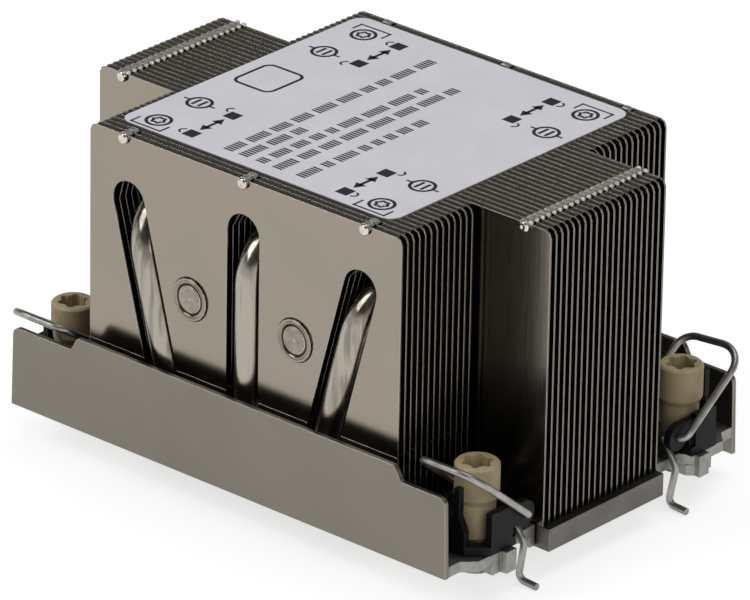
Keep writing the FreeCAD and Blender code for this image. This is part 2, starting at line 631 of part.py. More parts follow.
def nut_clip():
    """Split ring in the neck groove, under the ear boss."""
    top = FLOOR_Z - BOSS_DROP - NUT_RUN
    ring = cylinder(CLIP_R, CLIP_T, NUT_X, NUT_Y, top - CLIP_T)
    ring = ring.cut(cylinder(NUT_NECK_R - CLIP_GROOVE, CLIP_T, NUT_X, NUT_Y, top - CLIP_T))
    half = 0.5 * CLIP_MOUTH
    mouth = box(NUT_X - 2.0 * CLIP_R, NUT_X, NUT_Y - half, NUT_Y + half, top - CLIP_T, top)
    return ring.cut(mouth)


# ---- wire holders ------------------------------------------------------------------------------------
def inner_lug():
    """Rounded hinge lug that stands on the plate."""
    body = box(HOLDER_X0, HOLDER_X0 + LUG_T, HINGE_Y - LUG_R, HINGE_Y + LUG_R, FLOOR_TOP, HINGE_Z)
    return body.fuse(cylinder(LUG_R, LUG_T, HOLDER_X0, HINGE_Y, HINGE_Z, V(1, 0, 0)))


def outer_lug():
    """Hinge lug on an arm from the end wall, clear of the hook that swings below it."""
    x1 = LUG_OUTER_X + LUG_T
    eye = cylinder(LUG_R, LUG_T, LUG_OUTER_X, HINGE_Y, HINGE_Z, V(1, 0, 0))
    arm = box(LUG_OUTER_X, x1, HINGE_Y, LUG_FOOT_Y, HINGE_Z - LUG_ARM_LOW, HINGE_Z + LUG_R)
    foot = box(LUG_OUTER_X, x1, HOOK_BAY_Y, LUG_FOOT_Y, FLOOR_TOP, HINGE_Z)
    return eye.multiFuse([arm, foot])


def wire_holder():
    """Moulded holder of the +X +Y corner: plate, hinge lugs, end wall, guide post and prongs."""
    z0 = FLOOR_TOP
    z1 = FLOOR_TOP + HOLDER_T
    outline = [
        (HOLDER_X0, HOLDER_Y0), (HOOK_BAY_X, HOLDER_Y0), (HOOK_BAY_X, HOOK_BAY_Y),
        (HOLDER_X1, HOOK_BAY_Y), (HOLDER_X1, HOLDER_Y1 - HOLDER_CUT_OUT),
        (HOLDER_X1 - HOLDER_CUT_OUT, HOLDER_Y1), (HOLDER_X0 + HOLDER_CUT_IN, HOLDER_Y1),
        (HOLDER_X0, HOLDER_Y1 - HOLDER_CUT_IN),
    ]
    body = prism([V(x, y, z0) for x, y in outline], HOLDER_T, V(0, 0, 1))
    end_wall = box(HOLDER_X1 - END_WALL_T, HOLDER_X1, EAR_TIP_Y0, END_WALL_Y1, z1, END_WALL_TOP)
    post = box(POST_X - 0.5 * POST_W, POST_X + 0.5 * POST_W, HOLDER_Y1 - POST_W, HOLDER_Y1, z1, POST_TOP)
    rib_points = [
        (HOLDER_X0 + HOLDER_CUT_IN, z1), (HOLDER_X1 - HOLDER_CUT_OUT, z1),
        (HOLDER_X1 - HOLDER_CUT_OUT, RIB_END),
        (POST_X + 0.5 * POST_W, RIB_TOP), (POST_X - 0.5 * POST_W, RIB_TOP),
        (HOLDER_X0 + HOLDER_CUT_IN, RIB_LOW),
    ]
    rib = prism([V(x, HOLDER_Y1, z) for x, z in rib_points], POST_W, V(0, -1, 0))
    body = body.multiFuse([inner_lug(), outer_lug(), end_wall, post, rib])
    for x, y in PRONGS:
        body = body.fuse(cylinder(PRONG_R, FLOOR_T, x, y, FLOOR_Z))
    snap_x, snap_y = PRONGS[0]
    head = Part.makeCone(PRONG_HEAD_R, PRONG_TIP_R, PRONG_DROP, V(snap_x, snap_y, FLOOR_Z), V(0, 0, -1))
    body = body.fuse(head)
    bore = WASHER_R + HOLDER_BORE_CLEAR
    body = body.cut(cylinder(bore, POST_TOP, NUT_X, NUT_Y, z0))
    hole = cylinder(WIRE_R + LUG_CLEAR, HOLDER_X1 - HOLDER_X0, HOLDER_X0, HINGE_Y, HINGE_Z, V(1, 0, 0))
    return body.cut(hole).removeSplitter()


# ---- wire bails -----------------------------------------------------------------------------------------
def wire_bail(lean):
    """One bent wire of the +X +Y corner, turned by lean: stub, loop, hinge run, hook and foot."""
    c = math.cos(math.radians(BAIL_ANGLE))
    s = math.sin(math.radians(BAIL_ANGLE))

    def on_loop(x, reach):
        return V(x, HINGE_Y + reach * c, HINGE_Z + reach * s)

    foot = V(*HOOK_FOOT)
    points = [
        V(STUB_END_X, HINGE_Y, HINGE_Z), on_loop(BAIL_INNER_X, 0.0),
        on_loop(BAIL_INNER_X, BAIL_INNER_LEN), on_loop(BAIL_OUTER_X, BAIL_OUTER_LEN),
        on_loop(BAIL_OUTER_X, 0.0), V(HOOK_TOP_X, HINGE_Y, HINGE_Z),
        V(*HOOK_KNEE), foot, V(HOOK_TIP_X, foot.y, foot.z - HOOK_TIP_DROP),
    ]
    radii = (BAIL_STUB_R, BAIL_INNER_R, BAIL_OUTER_R, BAIL_ROOT_R,
             HOOK_TOP_R, HOOK_KNEE_R, HOOK_BEND_R)
    bail = tube(points, radii, WIRE_R)
    bail.rotate(V(0, HINGE_Y, HINGE_Z), V(1, 0, 0), lean)
    return bail


# ---- label ------------------------------------------------------------------------------------------------
def label():
    """Thin rounded sheet on the flanges."""
    body = box(LABEL_X0, LABEL_X1, LABEL_Y0, LABEL_Y1, FIN_TOP, FIN_TOP + LABEL_T)
    upright = [e for e in body.Edges if abs(e.BoundBox.ZLength - LABEL_T) < 1e-6]
    return body.makeFillet(LABEL_R, upright)


def build():
    """All nodes by name."""
    nodes = {
        "contact_plate": contact_plate(),
        "base_plate": base_plate(),
        "frame_front": side_frame(-1),
        "frame_rear": side_frame(1),
        "frame_screws": Part.makeCompound([frame_screw(sx, sy) for _, sx, sy in CORNERS]),
        "fins_front": fin_group(0, SIDE_FIN_COUNT),
        "fins_centre": fin_group(SIDE_FIN_COUNT, SIDE_FIN_COUNT + CENTRE_FIN_COUNT),
        "fins_rear": fin_group(SIDE_FIN_COUNT + CENTRE_FIN_COUNT, FIN_COUNT),
        "label": label(),
    }
    for name, spec in PIPES.items():
        nodes[name] = heat_pipe(*spec)
    corner_parts = (("nut", nut), ("nut_washer", nut_washer), ("nut_clip", nut_clip),
                    ("wire_holder", wire_holder))
    for stem, maker in corner_parts:
        shape = maker()
        for tag, sx, sy in CORNERS:
            nodes[stem + "_" + tag] = at_corner(shape, sx, sy)
    for tag, sx, sy in CORNERS:
        nodes["wire_bail_" + tag] = at_corner(wire_bail(BAIL_LEAN[tag]), sx, sy)
    return nodes


def main():
    """Write one STEP file per node."""
    os.makedirs("parts", exist_ok=True)
    for name, shape in build().items():
        print("%-24s solids %2d  valid %s  volume %.1f" % (name, len(shape.Solids), shape.isValid(),
                                                         shape.Volume))
        shape.exportStep("parts/" + name + ".step")


main()
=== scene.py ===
"""Looks of a passive 2U server heatsink: finishes, small added pieces, label print and studio."""
import logging
import math
import random
from dataclasses import dataclass, field, replace
from enum import Enum
from typing import Iterable, Sequence

import bmesh
import bpy
from mathutils import Matrix, Vector


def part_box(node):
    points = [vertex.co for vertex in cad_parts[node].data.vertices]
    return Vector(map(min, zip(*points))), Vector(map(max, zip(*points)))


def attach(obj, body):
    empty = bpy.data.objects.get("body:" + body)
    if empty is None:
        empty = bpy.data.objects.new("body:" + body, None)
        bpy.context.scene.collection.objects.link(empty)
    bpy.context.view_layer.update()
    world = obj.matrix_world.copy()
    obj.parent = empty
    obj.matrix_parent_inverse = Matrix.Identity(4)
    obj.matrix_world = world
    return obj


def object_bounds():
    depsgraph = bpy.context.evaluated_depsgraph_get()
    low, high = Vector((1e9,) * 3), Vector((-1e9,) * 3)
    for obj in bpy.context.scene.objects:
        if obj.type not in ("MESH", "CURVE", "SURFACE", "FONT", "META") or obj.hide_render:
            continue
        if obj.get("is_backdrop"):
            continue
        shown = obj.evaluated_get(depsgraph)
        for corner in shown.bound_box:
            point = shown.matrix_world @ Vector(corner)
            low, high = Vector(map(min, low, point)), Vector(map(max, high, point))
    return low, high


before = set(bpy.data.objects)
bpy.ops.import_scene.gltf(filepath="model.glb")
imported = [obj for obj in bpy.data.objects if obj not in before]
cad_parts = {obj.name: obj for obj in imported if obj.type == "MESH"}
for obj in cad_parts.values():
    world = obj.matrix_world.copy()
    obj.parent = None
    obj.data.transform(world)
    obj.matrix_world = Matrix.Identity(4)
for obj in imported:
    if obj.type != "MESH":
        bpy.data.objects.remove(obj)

LOG = logging.getLogger("heatsink")
MM = 0.001
CORNERS = ("fl", "fr", "rl", "rr")
HEATSINK = "heatsink"            # body that every added piece rides on
NOISE_ROUGHNESS = 0.6            # share that each finer octave keeps
NOISE_SPAN = (0.3, 0.7)          # range in which most noise values lie
EDGE_COSINES = (0.995, 0.86)     # rounded against flat normal: first trace of an edge, full edge
HOLLOW_SHADE_SPAN = (0.05, 0.75)       # openness deep in a gap, where the painted shade is full, and on a free face, where there is none
WELD_WITHIN = 1e-7               # metres within which points of a mesh become one
UP = Vector((0.0, 0.0, 1.0))
FORWARD = Vector((0.0, -1.0, 0.0))

Colour = tuple[float, float, float]
Point2 = tuple[float, float]
Point3 = tuple[float, float, float]
Span = tuple[float, float]      # lower and upper end of a range
Socket = bpy.types.NodeSocket
Material = bpy.types.Material


class Grain(Enum):
    """Way in which fine lines run over a metal part."""

    NONE = (1.0, 1.0, 1.0)
    ALONG_X = (0.03, 1.0, 1.0)
    ALONG_Y = (1.0, 0.03, 1.0)
    ALONG_Z = (1.0, 1.0, 0.03)


class Side(Enum):
    """Long side of the heatsink, as the sign of Y."""

    FRONT = -1
    REAR = 1


# ---- node graphs ----
class Bench:
    """Node graph of one material, with short ways to add what the finishes need."""

    def __init__(self, name: str, world: bpy.types.World | None = None) -> None:
        """Start an empty graph.

        Args:
            name: name of the material.
            world: surroundings to work on, in place of a new material.
        """
        self.material = bpy.data.materials.new(name) if world is None else world
        self.material.use_nodes = True
        self.tree = self.material.node_tree
        self.tree.nodes.clear()
        kind = "ShaderNodeOutputMaterial" if world is None else "ShaderNodeOutputWorld"
        self.output = self.node(kind)
        self.coords = self.node("ShaderNodeTexCoord").outputs["Object"]

    def node(self, kind: str, **settings: object) -> bpy.types.Node:
        """Add a node.

        Args:
            kind: node type.
            **settings: attributes to set on it.

        Returns:
            The new node.
        """
        made = self.tree.nodes.new(kind)
        for key, value in settings.items():
            setattr(made, key, value)
        return made

    def link(self, source: Socket | Colour | float, target: Socket) -> None:
        """Feed an input from an output socket, or with a plain colour or value.

        Args:
            source: what feeds the input.
            target: the input.
        """
        if isinstance(source, Socket):
            self.tree.links.new(source, target)
        else:
            target.default_value = (*source, 1.0) if isinstance(source, tuple) else source

    def noise(self, size: float, detail: float = 3.0, grain: Grain = Grain.NONE) -> Socket:
        """Noise over the object's own coordinates.

        Args:
            size: size of the features in metres.
            detail: octaves.
            grain: way in which the features are drawn out.

        Returns:
            The noise value.
        """
        place = self.node("ShaderNodeMapping")
        place.inputs["Scale"].default_value = grain.value
        self.link(self.coords, place.inputs["Vector"])
        made = self.node("ShaderNodeTexNoise")
        made.inputs["Scale"].default_value = 1.0 / size
        made.inputs["Detail"].default_value = detail
        made.inputs["Roughness"].default_value = NOISE_ROUGHNESS
        self.link(place.outputs["Vector"], made.inputs["Vector"])
        return made.outputs["Fac"]

    def ramp(self, fac: Socket, span: Span, *tones: Colour) -> Socket:
        """Colour that runs from one tone to another.

        Args:
            fac: value that drives it.
            span: values at which the two tones are reached.
            *tones: the two tones.

        Returns:
            The colour.
        """
        made = self.node("ShaderNodeValToRGB")
        for element, place, tone in zip(made.color_ramp.elements, span, tones):
            element.position = place
            element.color = (*tone, 1.0)
        self.link(fac, made.inputs["Fac"])
        return made.outputs["Color"]

    def spread(self, fac: Socket, low: float, high: float, at_low: float,
               at_high: float) -> Socket:
        """Map one range of a value onto another.

        Args:
            fac: value to map.
            low: lower end of its range.
            high: upper end of its range.
            at_low: result at the lower end.
            at_high: result at the upper end.

        Returns:
            The mapped value.
        """
        made = self.node("ShaderNodeMapRange")
        sources = {"From Min": low, "From Max": high, "To Min": at_low, "To Max": at_high,
                   "Value": fac}
        for key, source in sources.items():
            self.link(source, made.inputs[key])
        return made.outputs["Result"]

    def blend(self, fac: Socket, first: Socket | Colour, second: Socket | Colour) -> Socket:
        """Mix two colours by a value.

        Args:
            fac: 0 for the first colour, 1 for the second.
            first: first colour, or the socket that gives it.
            second: second colour, or the socket that gives it.

        Returns:
            The mixed colour.
        """
        made = self.node("ShaderNodeMix", data_type="RGBA")
        for place, source in ((0, fac), (6, first), (7, second)):
            self.link(source, made.inputs[place])
        return made.outputs[2]

    def pick(self, fac: Socket, first: Socket | float, second: Socket | float) -> Socket:
        """Mix two values.

        Args:
            fac: 0 for the first value, 1 for the second.
            first: first value, or the socket that gives it.
            second: second value, or the socket that gives it.

        Returns:
            The mixed value.
        """
        made = self.node("ShaderNodeMix", data_type="FLOAT")
        for place, source in ((0, fac), (2, first), (3, second)):
            self.link(source, made.inputs[place])
        return made.outputs[0]

    def either(self, first: Socket, second: Socket) -> Socket:
        """The larger of two values.

        Args:
            first: one value.
            second: the other one.

        Returns:
            The larger.
        """
        made = self.node("ShaderNodeMath", operation="MAXIMUM")
        self.link(first, made.inputs[0])
        self.link(second, made.inputs[1])
        return made.outputs[0]

    def soft_edges(self, radius: float) -> tuple[Socket, Socket]:
        """Rounded edges in the shading alone.

        Args:
            radius: edge radius in metres.

        Returns:
            The rounded normal, and a value that is 1 on the edges and 0 on the faces.
        """
        bevel = self.node("ShaderNodeBevel", samples=4)
        bevel.inputs["Radius"].default_value = radius
        flat = self.node("ShaderNodeNewGeometry").outputs["Normal"]
        dot = self.node("ShaderNodeVectorMath", operation="DOT_PRODUCT")
        self.link(bevel.outputs["Normal"], dot.inputs[0])
        self.link(flat, dot.inputs[1])
        edges = self.spread(dot.outputs["Value"], *EDGE_COSINES, 0.0, 1.0)
        return bevel.outputs["Normal"], edges

    def openness(self, reach: float) -> Socket:
        """How open a point lies to its surroundings.

        Args:
            reach: distance in metres within which other surfaces count.

        Returns:
            1 on an open face, down to 0 deep in a gap.
        """
        made = self.node("ShaderNodeAmbientOcclusion", samples=8)
        made.inputs["Distance"].default_value = reach
        return made.outputs["AO"]

    def along(self, axis: int, of_normal: bool) -> Socket:
        """Size of one coordinate, without its sign.

        Args:
            axis: 0, 1 or 2 for X, Y or Z.
            of_normal: True for the face normal, False for the place on the object.

        Returns:
            The value.
        """
        source = self.coords
        if of_normal:
            source = self.node("ShaderNodeNewGeometry").outputs["Normal"]
        split = self.node("ShaderNodeSeparateXYZ")
        self.link(source, split.inputs[0])
        made = self.node("ShaderNodeMath", operation="ABSOLUTE")
        self.link(split.outputs[axis], made.inputs[0])
        return made.outputs[0]

    def bump(self, height: Socket, depth: float, normal: Socket | None = None) -> Socket:
        """Relief in the shading.

        Args:
            height: relief from 0 to 1.
            depth: its depth in metres.
            normal: normal that the relief is laid over.

        Returns:
            The new normal.
        """
        made = self.node("ShaderNodeBump")
        made.inputs["Distance"].default_value = depth
        self.link(height, made.inputs["Height"])
        if normal is not None:
            self.link(normal, made.inputs["Normal"])
        return made.outputs["Normal"]

    def surface(self, colour: Socket, roughness: Socket, normal: Socket,
                metallic: float, specular: float = 0.5) -> Material:
        """Close the graph with a principled shader.

        Args:
            colour: base colour.
            roughness: roughness.
            normal: shading normal.
            metallic: 1 for bare metal, 0 otherwise.
            specular: specular level.

        Returns:
            The finished material.
        """
        shader = self.node("ShaderNodeBsdfPrincipled")
        sources = {"Metallic": metallic, "Specular IOR Level": specular, "Base Color": colour,
                   "Roughness": roughness, "Normal": normal}
        for key, source in sources.items():
            self.link(source, shader.inputs[key])
        self.link(shader.outputs["BSDF"], self.output.inputs["Surface"])
        return self.material


# ---- finishes ----
@dataclass(frozen=True)
class MetalFinish:
    """Bare or plated metal with fine grain, faint stains, brighter worn edges and shade painted
    dark into its hollows and gaps.
    """

    name: str
    tone: Colour
    stain: Colour
    edge: Colour
    roughness: Span
    grain: Grain = Grain.NONE
    grain_size: float = 0.4 * MM
    grain_depth: float = 0.004 * MM
    stain_size: float = 14.0 * MM
    edge_radius: float = 0.12 * MM
    # painted shade: dark colour put into gaps and hollows, and the distance within which ambient
    # occlusion finds them
    hollow_shade: Colour = (0.05, 0.045, 0.04)
    hollow_shade_reach: float = 2.5 * MM
    # stretch of the stain noise; on the pipes it draws streaks that are partly drawing marks and
    # partly painted reflection
    stain_and_reflection_grain: Grain = Grain.NONE
    stain_span: Span = (0.32, 0.62)
    stain_detail: float = 4.0

    def make(self) -> Material:
        """Build the material."""
        bench = Bench(self.name)
        normal, edges = self.rounding(bench)
        fine = bench.noise(self.grain_size, detail=2.0, grain=self.grain)
        colour = bench.blend(edges, self.body(bench), self.edge)
        # painted shade: the colour turns dark where ambient occlusion finds nearby surfaces
        shade = bench.spread(bench.openness(self.hollow_shade_reach), *HOLLOW_SHADE_SPAN, 0.0, 1.0)
        colour = bench.blend(shade, self.hollow_shade, colour)
        rough = bench.spread(fine, *NOISE_SPAN, *self.roughness)
        relief = bench.bump(fine, self.grain_depth, normal)
        return bench.surface(colour, self.sheen(bench, rough), relief, 1.0)

    def rounding(self, bench: Bench) -> tuple[Socket, Socket]:
        """Rounded normal, and a value that is 1 on the edges."""
        return bench.soft_edges(self.edge_radius)

    def body(self, bench: Bench) -> Socket:
        """Colour of the open faces."""
        broad = bench.noise(self.stain_size, self.stain_detail, self.stain_and_reflection_grain)
        return bench.ramp(broad, self.stain_span, self.stain, self.tone)

    def sheen(self, bench: Bench, rough: Socket) -> Socket:
        """Roughness of the open faces, from that of the grain."""
        return rough


@dataclass(frozen=True)
class FinFinish(MetalFinish):
    """Plated sheet whose ends along X get painted shade, darker than its faces, and whose pressed
    tabs on top get a painted highlight.
    """

    # painted shade: darker colour on the sheet ends that face along X
    cut_end_shade: Colour = (0.155, 0.137, 0.115)
    # painted highlight: pale colour of the tabs that stand above the flanges
    tab: Colour = (0.66, 0.63, 0.57)
    tab_roughness: float = 0.34
    tab_from: float = 60.64 * MM
    tab_blend: float = 0.05 * MM
    tab_radius: float = 0.45 * MM
    cut_span: Span = (0.80, 0.95)

    def tabs(self, bench: Bench) -> Socket:
        """1 on the tabs that stand above the flanges, 0 elsewhere."""
        top = self.tab_from + self.tab_blend
        return bench.spread(bench.along(2, False), self.tab_from, top, 0.0, 1.0)

    def rounding(self, bench: Bench) -> tuple[Socket, Socket]:
        """Small rounding on the sheet, and tabs that look domed.

        Args:
            bench: graph of the material.

        Returns:
            The rounded normal, and a value that is 1 on the edges.
        """
        normal, edges = bench.soft_edges(self.edge_radius)
        domed, _ = bench.soft_edges(self.tab_radius)
        made = bench.node("ShaderNodeMix", data_type="VECTOR")
        bench.link(self.tabs(bench), made.inputs[0])
        bench.link(normal, made.inputs[4])
        bench.link(domed, made.inputs[5])
        return made.outputs[1], edges

    def sheen(self, bench: Bench, rough: Socket) -> Socket:
        """Roughness: the pressed tabs are duller than the rolled sheet."""
        return bench.pick(self.tabs(bench), rough, self.tab_roughness)

    def body(self, bench: Bench) -> Socket:
        """Colour of the faces, with painted shade on the sheet ends that face along X and a painted
        highlight on the tabs.

        Args:
            bench: graph of the material.

        Returns:
            The colour.
        """
        # painted shade on the sheet ends that face along X
        ends = bench.spread(bench.along(0, True), *self.cut_span, 0.0, 1.0)
        sheet = bench.blend(ends, super().body(bench), self.cut_end_shade)
        # painted highlight on the tabs
        return bench.blend(self.tabs(bench), sheet, self.tab)


@dataclass(frozen=True)
class FrameFinish(MetalFinish):
    """Brushed wall outside, as-cast floor and ears inside of it."""

    cast: Colour = (0.36, 0.355, 0.33)
    cast_pit: Colour = (0.27, 0.265, 0.245)
    cast_roughness: float = 0.5
    cast_span: Span = (0.35, 0.62)
    pit_size: float = 1.6 * MM
    wall_from: float = 37.3 * MM
    wall_blend: float = 0.3 * MM

    def inside(self, bench: Bench) -> Socket:
        """1 on the floor and ears, 0 on the wall."""
        top = self.wall_from + self.wall_blend
        return bench.spread(bench.along(1, False), self.wall_from, top, 1.0, 0.0)

    def body(self, bench: Bench) -> Socket:
        """Colour of the wall, and the mottled one of the cast parts.

        Args:
            bench: graph of the material.

        Returns:
            The colour.
        """
        pits = bench.noise(self.pit_size, detail=5.0)
        rough_cast = bench.ramp(pits, self.cast_span, self.cast_pit, self.cast)
        return bench.blend(self.inside(bench), super().body(bench), rough_cast)

    def sheen(self, bench: Bench, rough: Socket) -> Socket:
        """Duller on the cast parts."""
        return bench.pick(self.inside(bench), rough, self.cast_roughness)


@dataclass(frozen=True)
class MouldedFinish:
    """Moulded engineering plastic with a fine skin and slightly paler edges."""

    name: str
    tone: Colour
    shade: Colour
    edge: Colour
    roughness: Span
    skin_size: float = 0.35 * MM
    skin_depth: float = 0.012 * MM
    shade_size: float = 5.0 * MM
    shade_span: Span = (0.35, 0.65)
    edge_radius: float = 0.15 * MM
    gloss: float = 0.4

    def make(self) -> Material:
        """Build the material."""
        bench = Bench(self.name)
        normal, edges = bench.soft_edges(self.edge_radius)
        skin = bench.noise(self.skin_size)
        broad = bench.noise(self.shade_size)
        body = bench.ramp(broad, self.shade_span, self.shade, self.tone)
        colour = bench.blend(edges, body, self.edge)
        rough = bench.spread(skin, *NOISE_SPAN, *self.roughness)
        relief = bench.bump(skin, self.skin_depth, normal)
        return bench.surface(colour, rough, relief, 0.0, self.gloss)


@dataclass(frozen=True)
class SheetFinish:
    """Flat film or print whose colour drifts a little from one tone to another."""

    name: str
    first: Colour
    second: Colour
    roughness: Span
    drift_size: float = 9.0 * MM
    drift_detail: float = 4.0
    drift_span: Span = NOISE_SPAN
    fibre_size: float | None = 0.25 * MM
    fibre_depth: float = 0.006 * MM
    gloss: float = 0.35

    def make(self) -> Material:
        """Build the material; where it has no fibres, the drift gives the relief too."""
        bench = Bench(self.name)
        drift = bench.noise(self.drift_size, self.drift_detail)
        fibre = bench.noise(self.fibre_size, detail=2.0) if self.fibre_size else drift
        colour = bench.ramp(drift, self.drift_span, self.first, self.second)
        rough = bench.spread(fibre, *NOISE_SPAN, *self.roughness)
        relief = bench.bump(fibre, self.fibre_depth)
        return bench.surface(colour, rough, relief, 0.0, self.gloss)


# fin finish: the dark colour and reach given last paint shade between the fins
FIN_FINISH = FinFinish(
    "fin_nickel", tone=(0.303, 0.269, 0.223), stain=(0.285, 0.262, 0.205),
    edge=(0.50, 0.465, 0.395), roughness=(0.18, 0.24), grain=Grain.ALONG_Z, grain_size=0.35 * MM,
    grain_depth=0.0008 * MM, stain_size=30 * MM, edge_radius=0.16 * MM,
    hollow_shade=(0.045, 0.036, 0.027), hollow_shade_reach=3.0 * MM)
# pipe streaks along Z: partly drawing marks on the tube, partly painted reflection streaks
PIPE_FINISH = MetalFinish(
    "pipe_nickel", tone=(0.385, 0.352, 0.298), stain=(0.225, 0.203, 0.166), edge=(0.50, 0.48, 0.43),
    roughness=(0.15, 0.24), grain=Grain.ALONG_Z, grain_size=0.5 * MM, grain_depth=0.0015 * MM,
    stain_size=1.7 * MM, edge_radius=0.2 * MM, stain_and_reflection_grain=Grain.ALONG_Z,
    stain_span=(0.40, 0.54), stain_detail=2.0)
COLLAR_FINISH = MetalFinish(
    "rolled_collar", tone=(0.285, 0.255, 0.205), stain=(0.20, 0.178, 0.14),
    edge=(0.46, 0.43, 0.36), roughness=(0.12, 0.2), grain_depth=0.003 * MM, stain_size=3 * MM)
CAP_FINISH = MetalFinish(
    "pipe_end_nickel", tone=(0.315, 0.292, 0.242), stain=(0.205, 0.188, 0.15),
    edge=(0.5, 0.47, 0.4), roughness=(0.14, 0.24), grain_size=0.3 * MM, grain_depth=0.006 * MM,
    stain_size=2 * MM)
# painted shade: near-black colour of flat rings laid in the recess round the closed end and at the
# collar's foot
GROOVE_SHADE_FINISH = MetalFinish(
    "collar_groove_shade", tone=(0.045, 0.038, 0.028), stain=(0.02, 0.017, 0.012),
    edge=(0.09, 0.08, 0.06), roughness=(0.35, 0.5), grain_size=0.3 * MM, stain_size=2 * MM)
# painted highlight: the beads and dimples are the fins' own plated metal, made far paler so that
# they shine
BEAD_HIGHLIGHT_FINISH = MetalFinish(
    "tab_bead_highlight", tone=(0.70, 0.67, 0.60), stain=(0.52, 0.49, 0.43), edge=(0.8, 0.78, 0.72),
    roughness=(0.10, 0.18), grain_size=0.3 * MM, stain_size=2 * MM)
DIMPLE_HIGHLIGHT_FINISH = MetalFinish(
    "tab_dimple_highlight", tone=(0.92, 0.89, 0.82), stain=(0.62, 0.59, 0.52), edge=(0.95, 0.93, 0.88),
    roughness=(0.26, 0.36), grain_size=0.3 * MM, stain_size=1.2 * MM)
FRAME_FINISH = FrameFinish(
    "cast_frame", tone=(0.216, 0.197, 0.164), stain=(0.196, 0.179, 0.148),
    edge=(0.44, 0.43, 0.39), roughness=(0.30, 0.40), grain=Grain.ALONG_X, grain_size=0.30 * MM,
    grain_depth=0.003 * MM, stain_size=30 * MM, edge_radius=0.22 * MM)
BASE_FINISH = MetalFinish(
    "base_metal", tone=(0.17, 0.160, 0.145), stain=(0.12, 0.112, 0.10), edge=(0.30, 0.285, 0.26),
    roughness=(0.32, 0.45), grain=Grain.ALONG_Y, grain_size=0.25 * MM, stain_size=7 * MM,
    edge_radius=0.15 * MM)
COPPER_FINISH = MetalFinish(
    "cold_plate_copper", tone=(0.62, 0.33, 0.22), stain=(0.52, 0.26, 0.17),
    edge=(0.75, 0.45, 0.33), roughness=(0.22, 0.34), grain=Grain.ALONG_X, grain_size=0.25 * MM,
    grain_depth=0.003 * MM, stain_size=12 * MM)
SCREW_FINISH = MetalFinish(
    "screw_steel", tone=(0.45, 0.45, 0.45), stain=(0.36, 0.36, 0.36), edge=(0.6, 0.6, 0.6),
    roughness=(0.25, 0.35))
WASHER_FINISH = MetalFinish(
    "washer_steel", tone=(0.50, 0.48, 0.43), stain=(0.40, 0.385, 0.34), edge=(0.62, 0.60, 0.56),
    roughness=(0.30, 0.42))
CLIP_FINISH = MetalFinish(
    "clip_steel", tone=(0.16, 0.16, 0.17), stain=(0.11, 0.11, 0.12), edge=(0.3, 0.3, 0.31),
    roughness=(0.3, 0.4))
WIRE_FINISH = MetalFinish(
    "wire_steel", tone=(0.40, 0.385, 0.365), stain=(0.27, 0.26, 0.245), edge=(0.5, 0.49, 0.47),
    roughness=(0.34, 0.46), grain_size=0.5 * MM, grain_depth=0.006 * MM, stain_size=3 * MM,
    edge_radius=0.1 * MM)
NUT_FINISH = MouldedFinish(
    "nut_polymer", tone=(0.47, 0.375, 0.225), shade=(0.37, 0.29, 0.165), edge=(0.60, 0.50, 0.34),
    roughness=(0.42, 0.56), gloss=0.3)
HOLDER_FINISH = MouldedFinish(
    "holder_black", tone=(0.006, 0.006, 0.0065), shade=(0.0035, 0.0035, 0.004),
    edge=(0.014, 0.014, 0.015), roughness=(0.42, 0.56), gloss=0.16)
LABEL_FINISH = SheetFinish(
    "label_sheet", first=(0.655, 0.645, 0.69), second=(0.72, 0.705, 0.755), roughness=(0.5, 0.62))
INK_FINISH = SheetFinish(
    "label_ink", first=(0.012, 0.011, 0.012), second=(0.035, 0.033, 0.036), roughness=(0.5, 0.65),
    drift_size=0.5 * MM, drift_detail=3.0, drift_span=(0.3, 0.8), fibre_size=None,
    fibre_depth=0.003 * MM, gloss=0.3)
TEXT_FINISH = replace(
    INK_FINISH, name="label_fine_print", first=(0.016, 0.015, 0.016), second=(0.05, 0.048, 0.052))


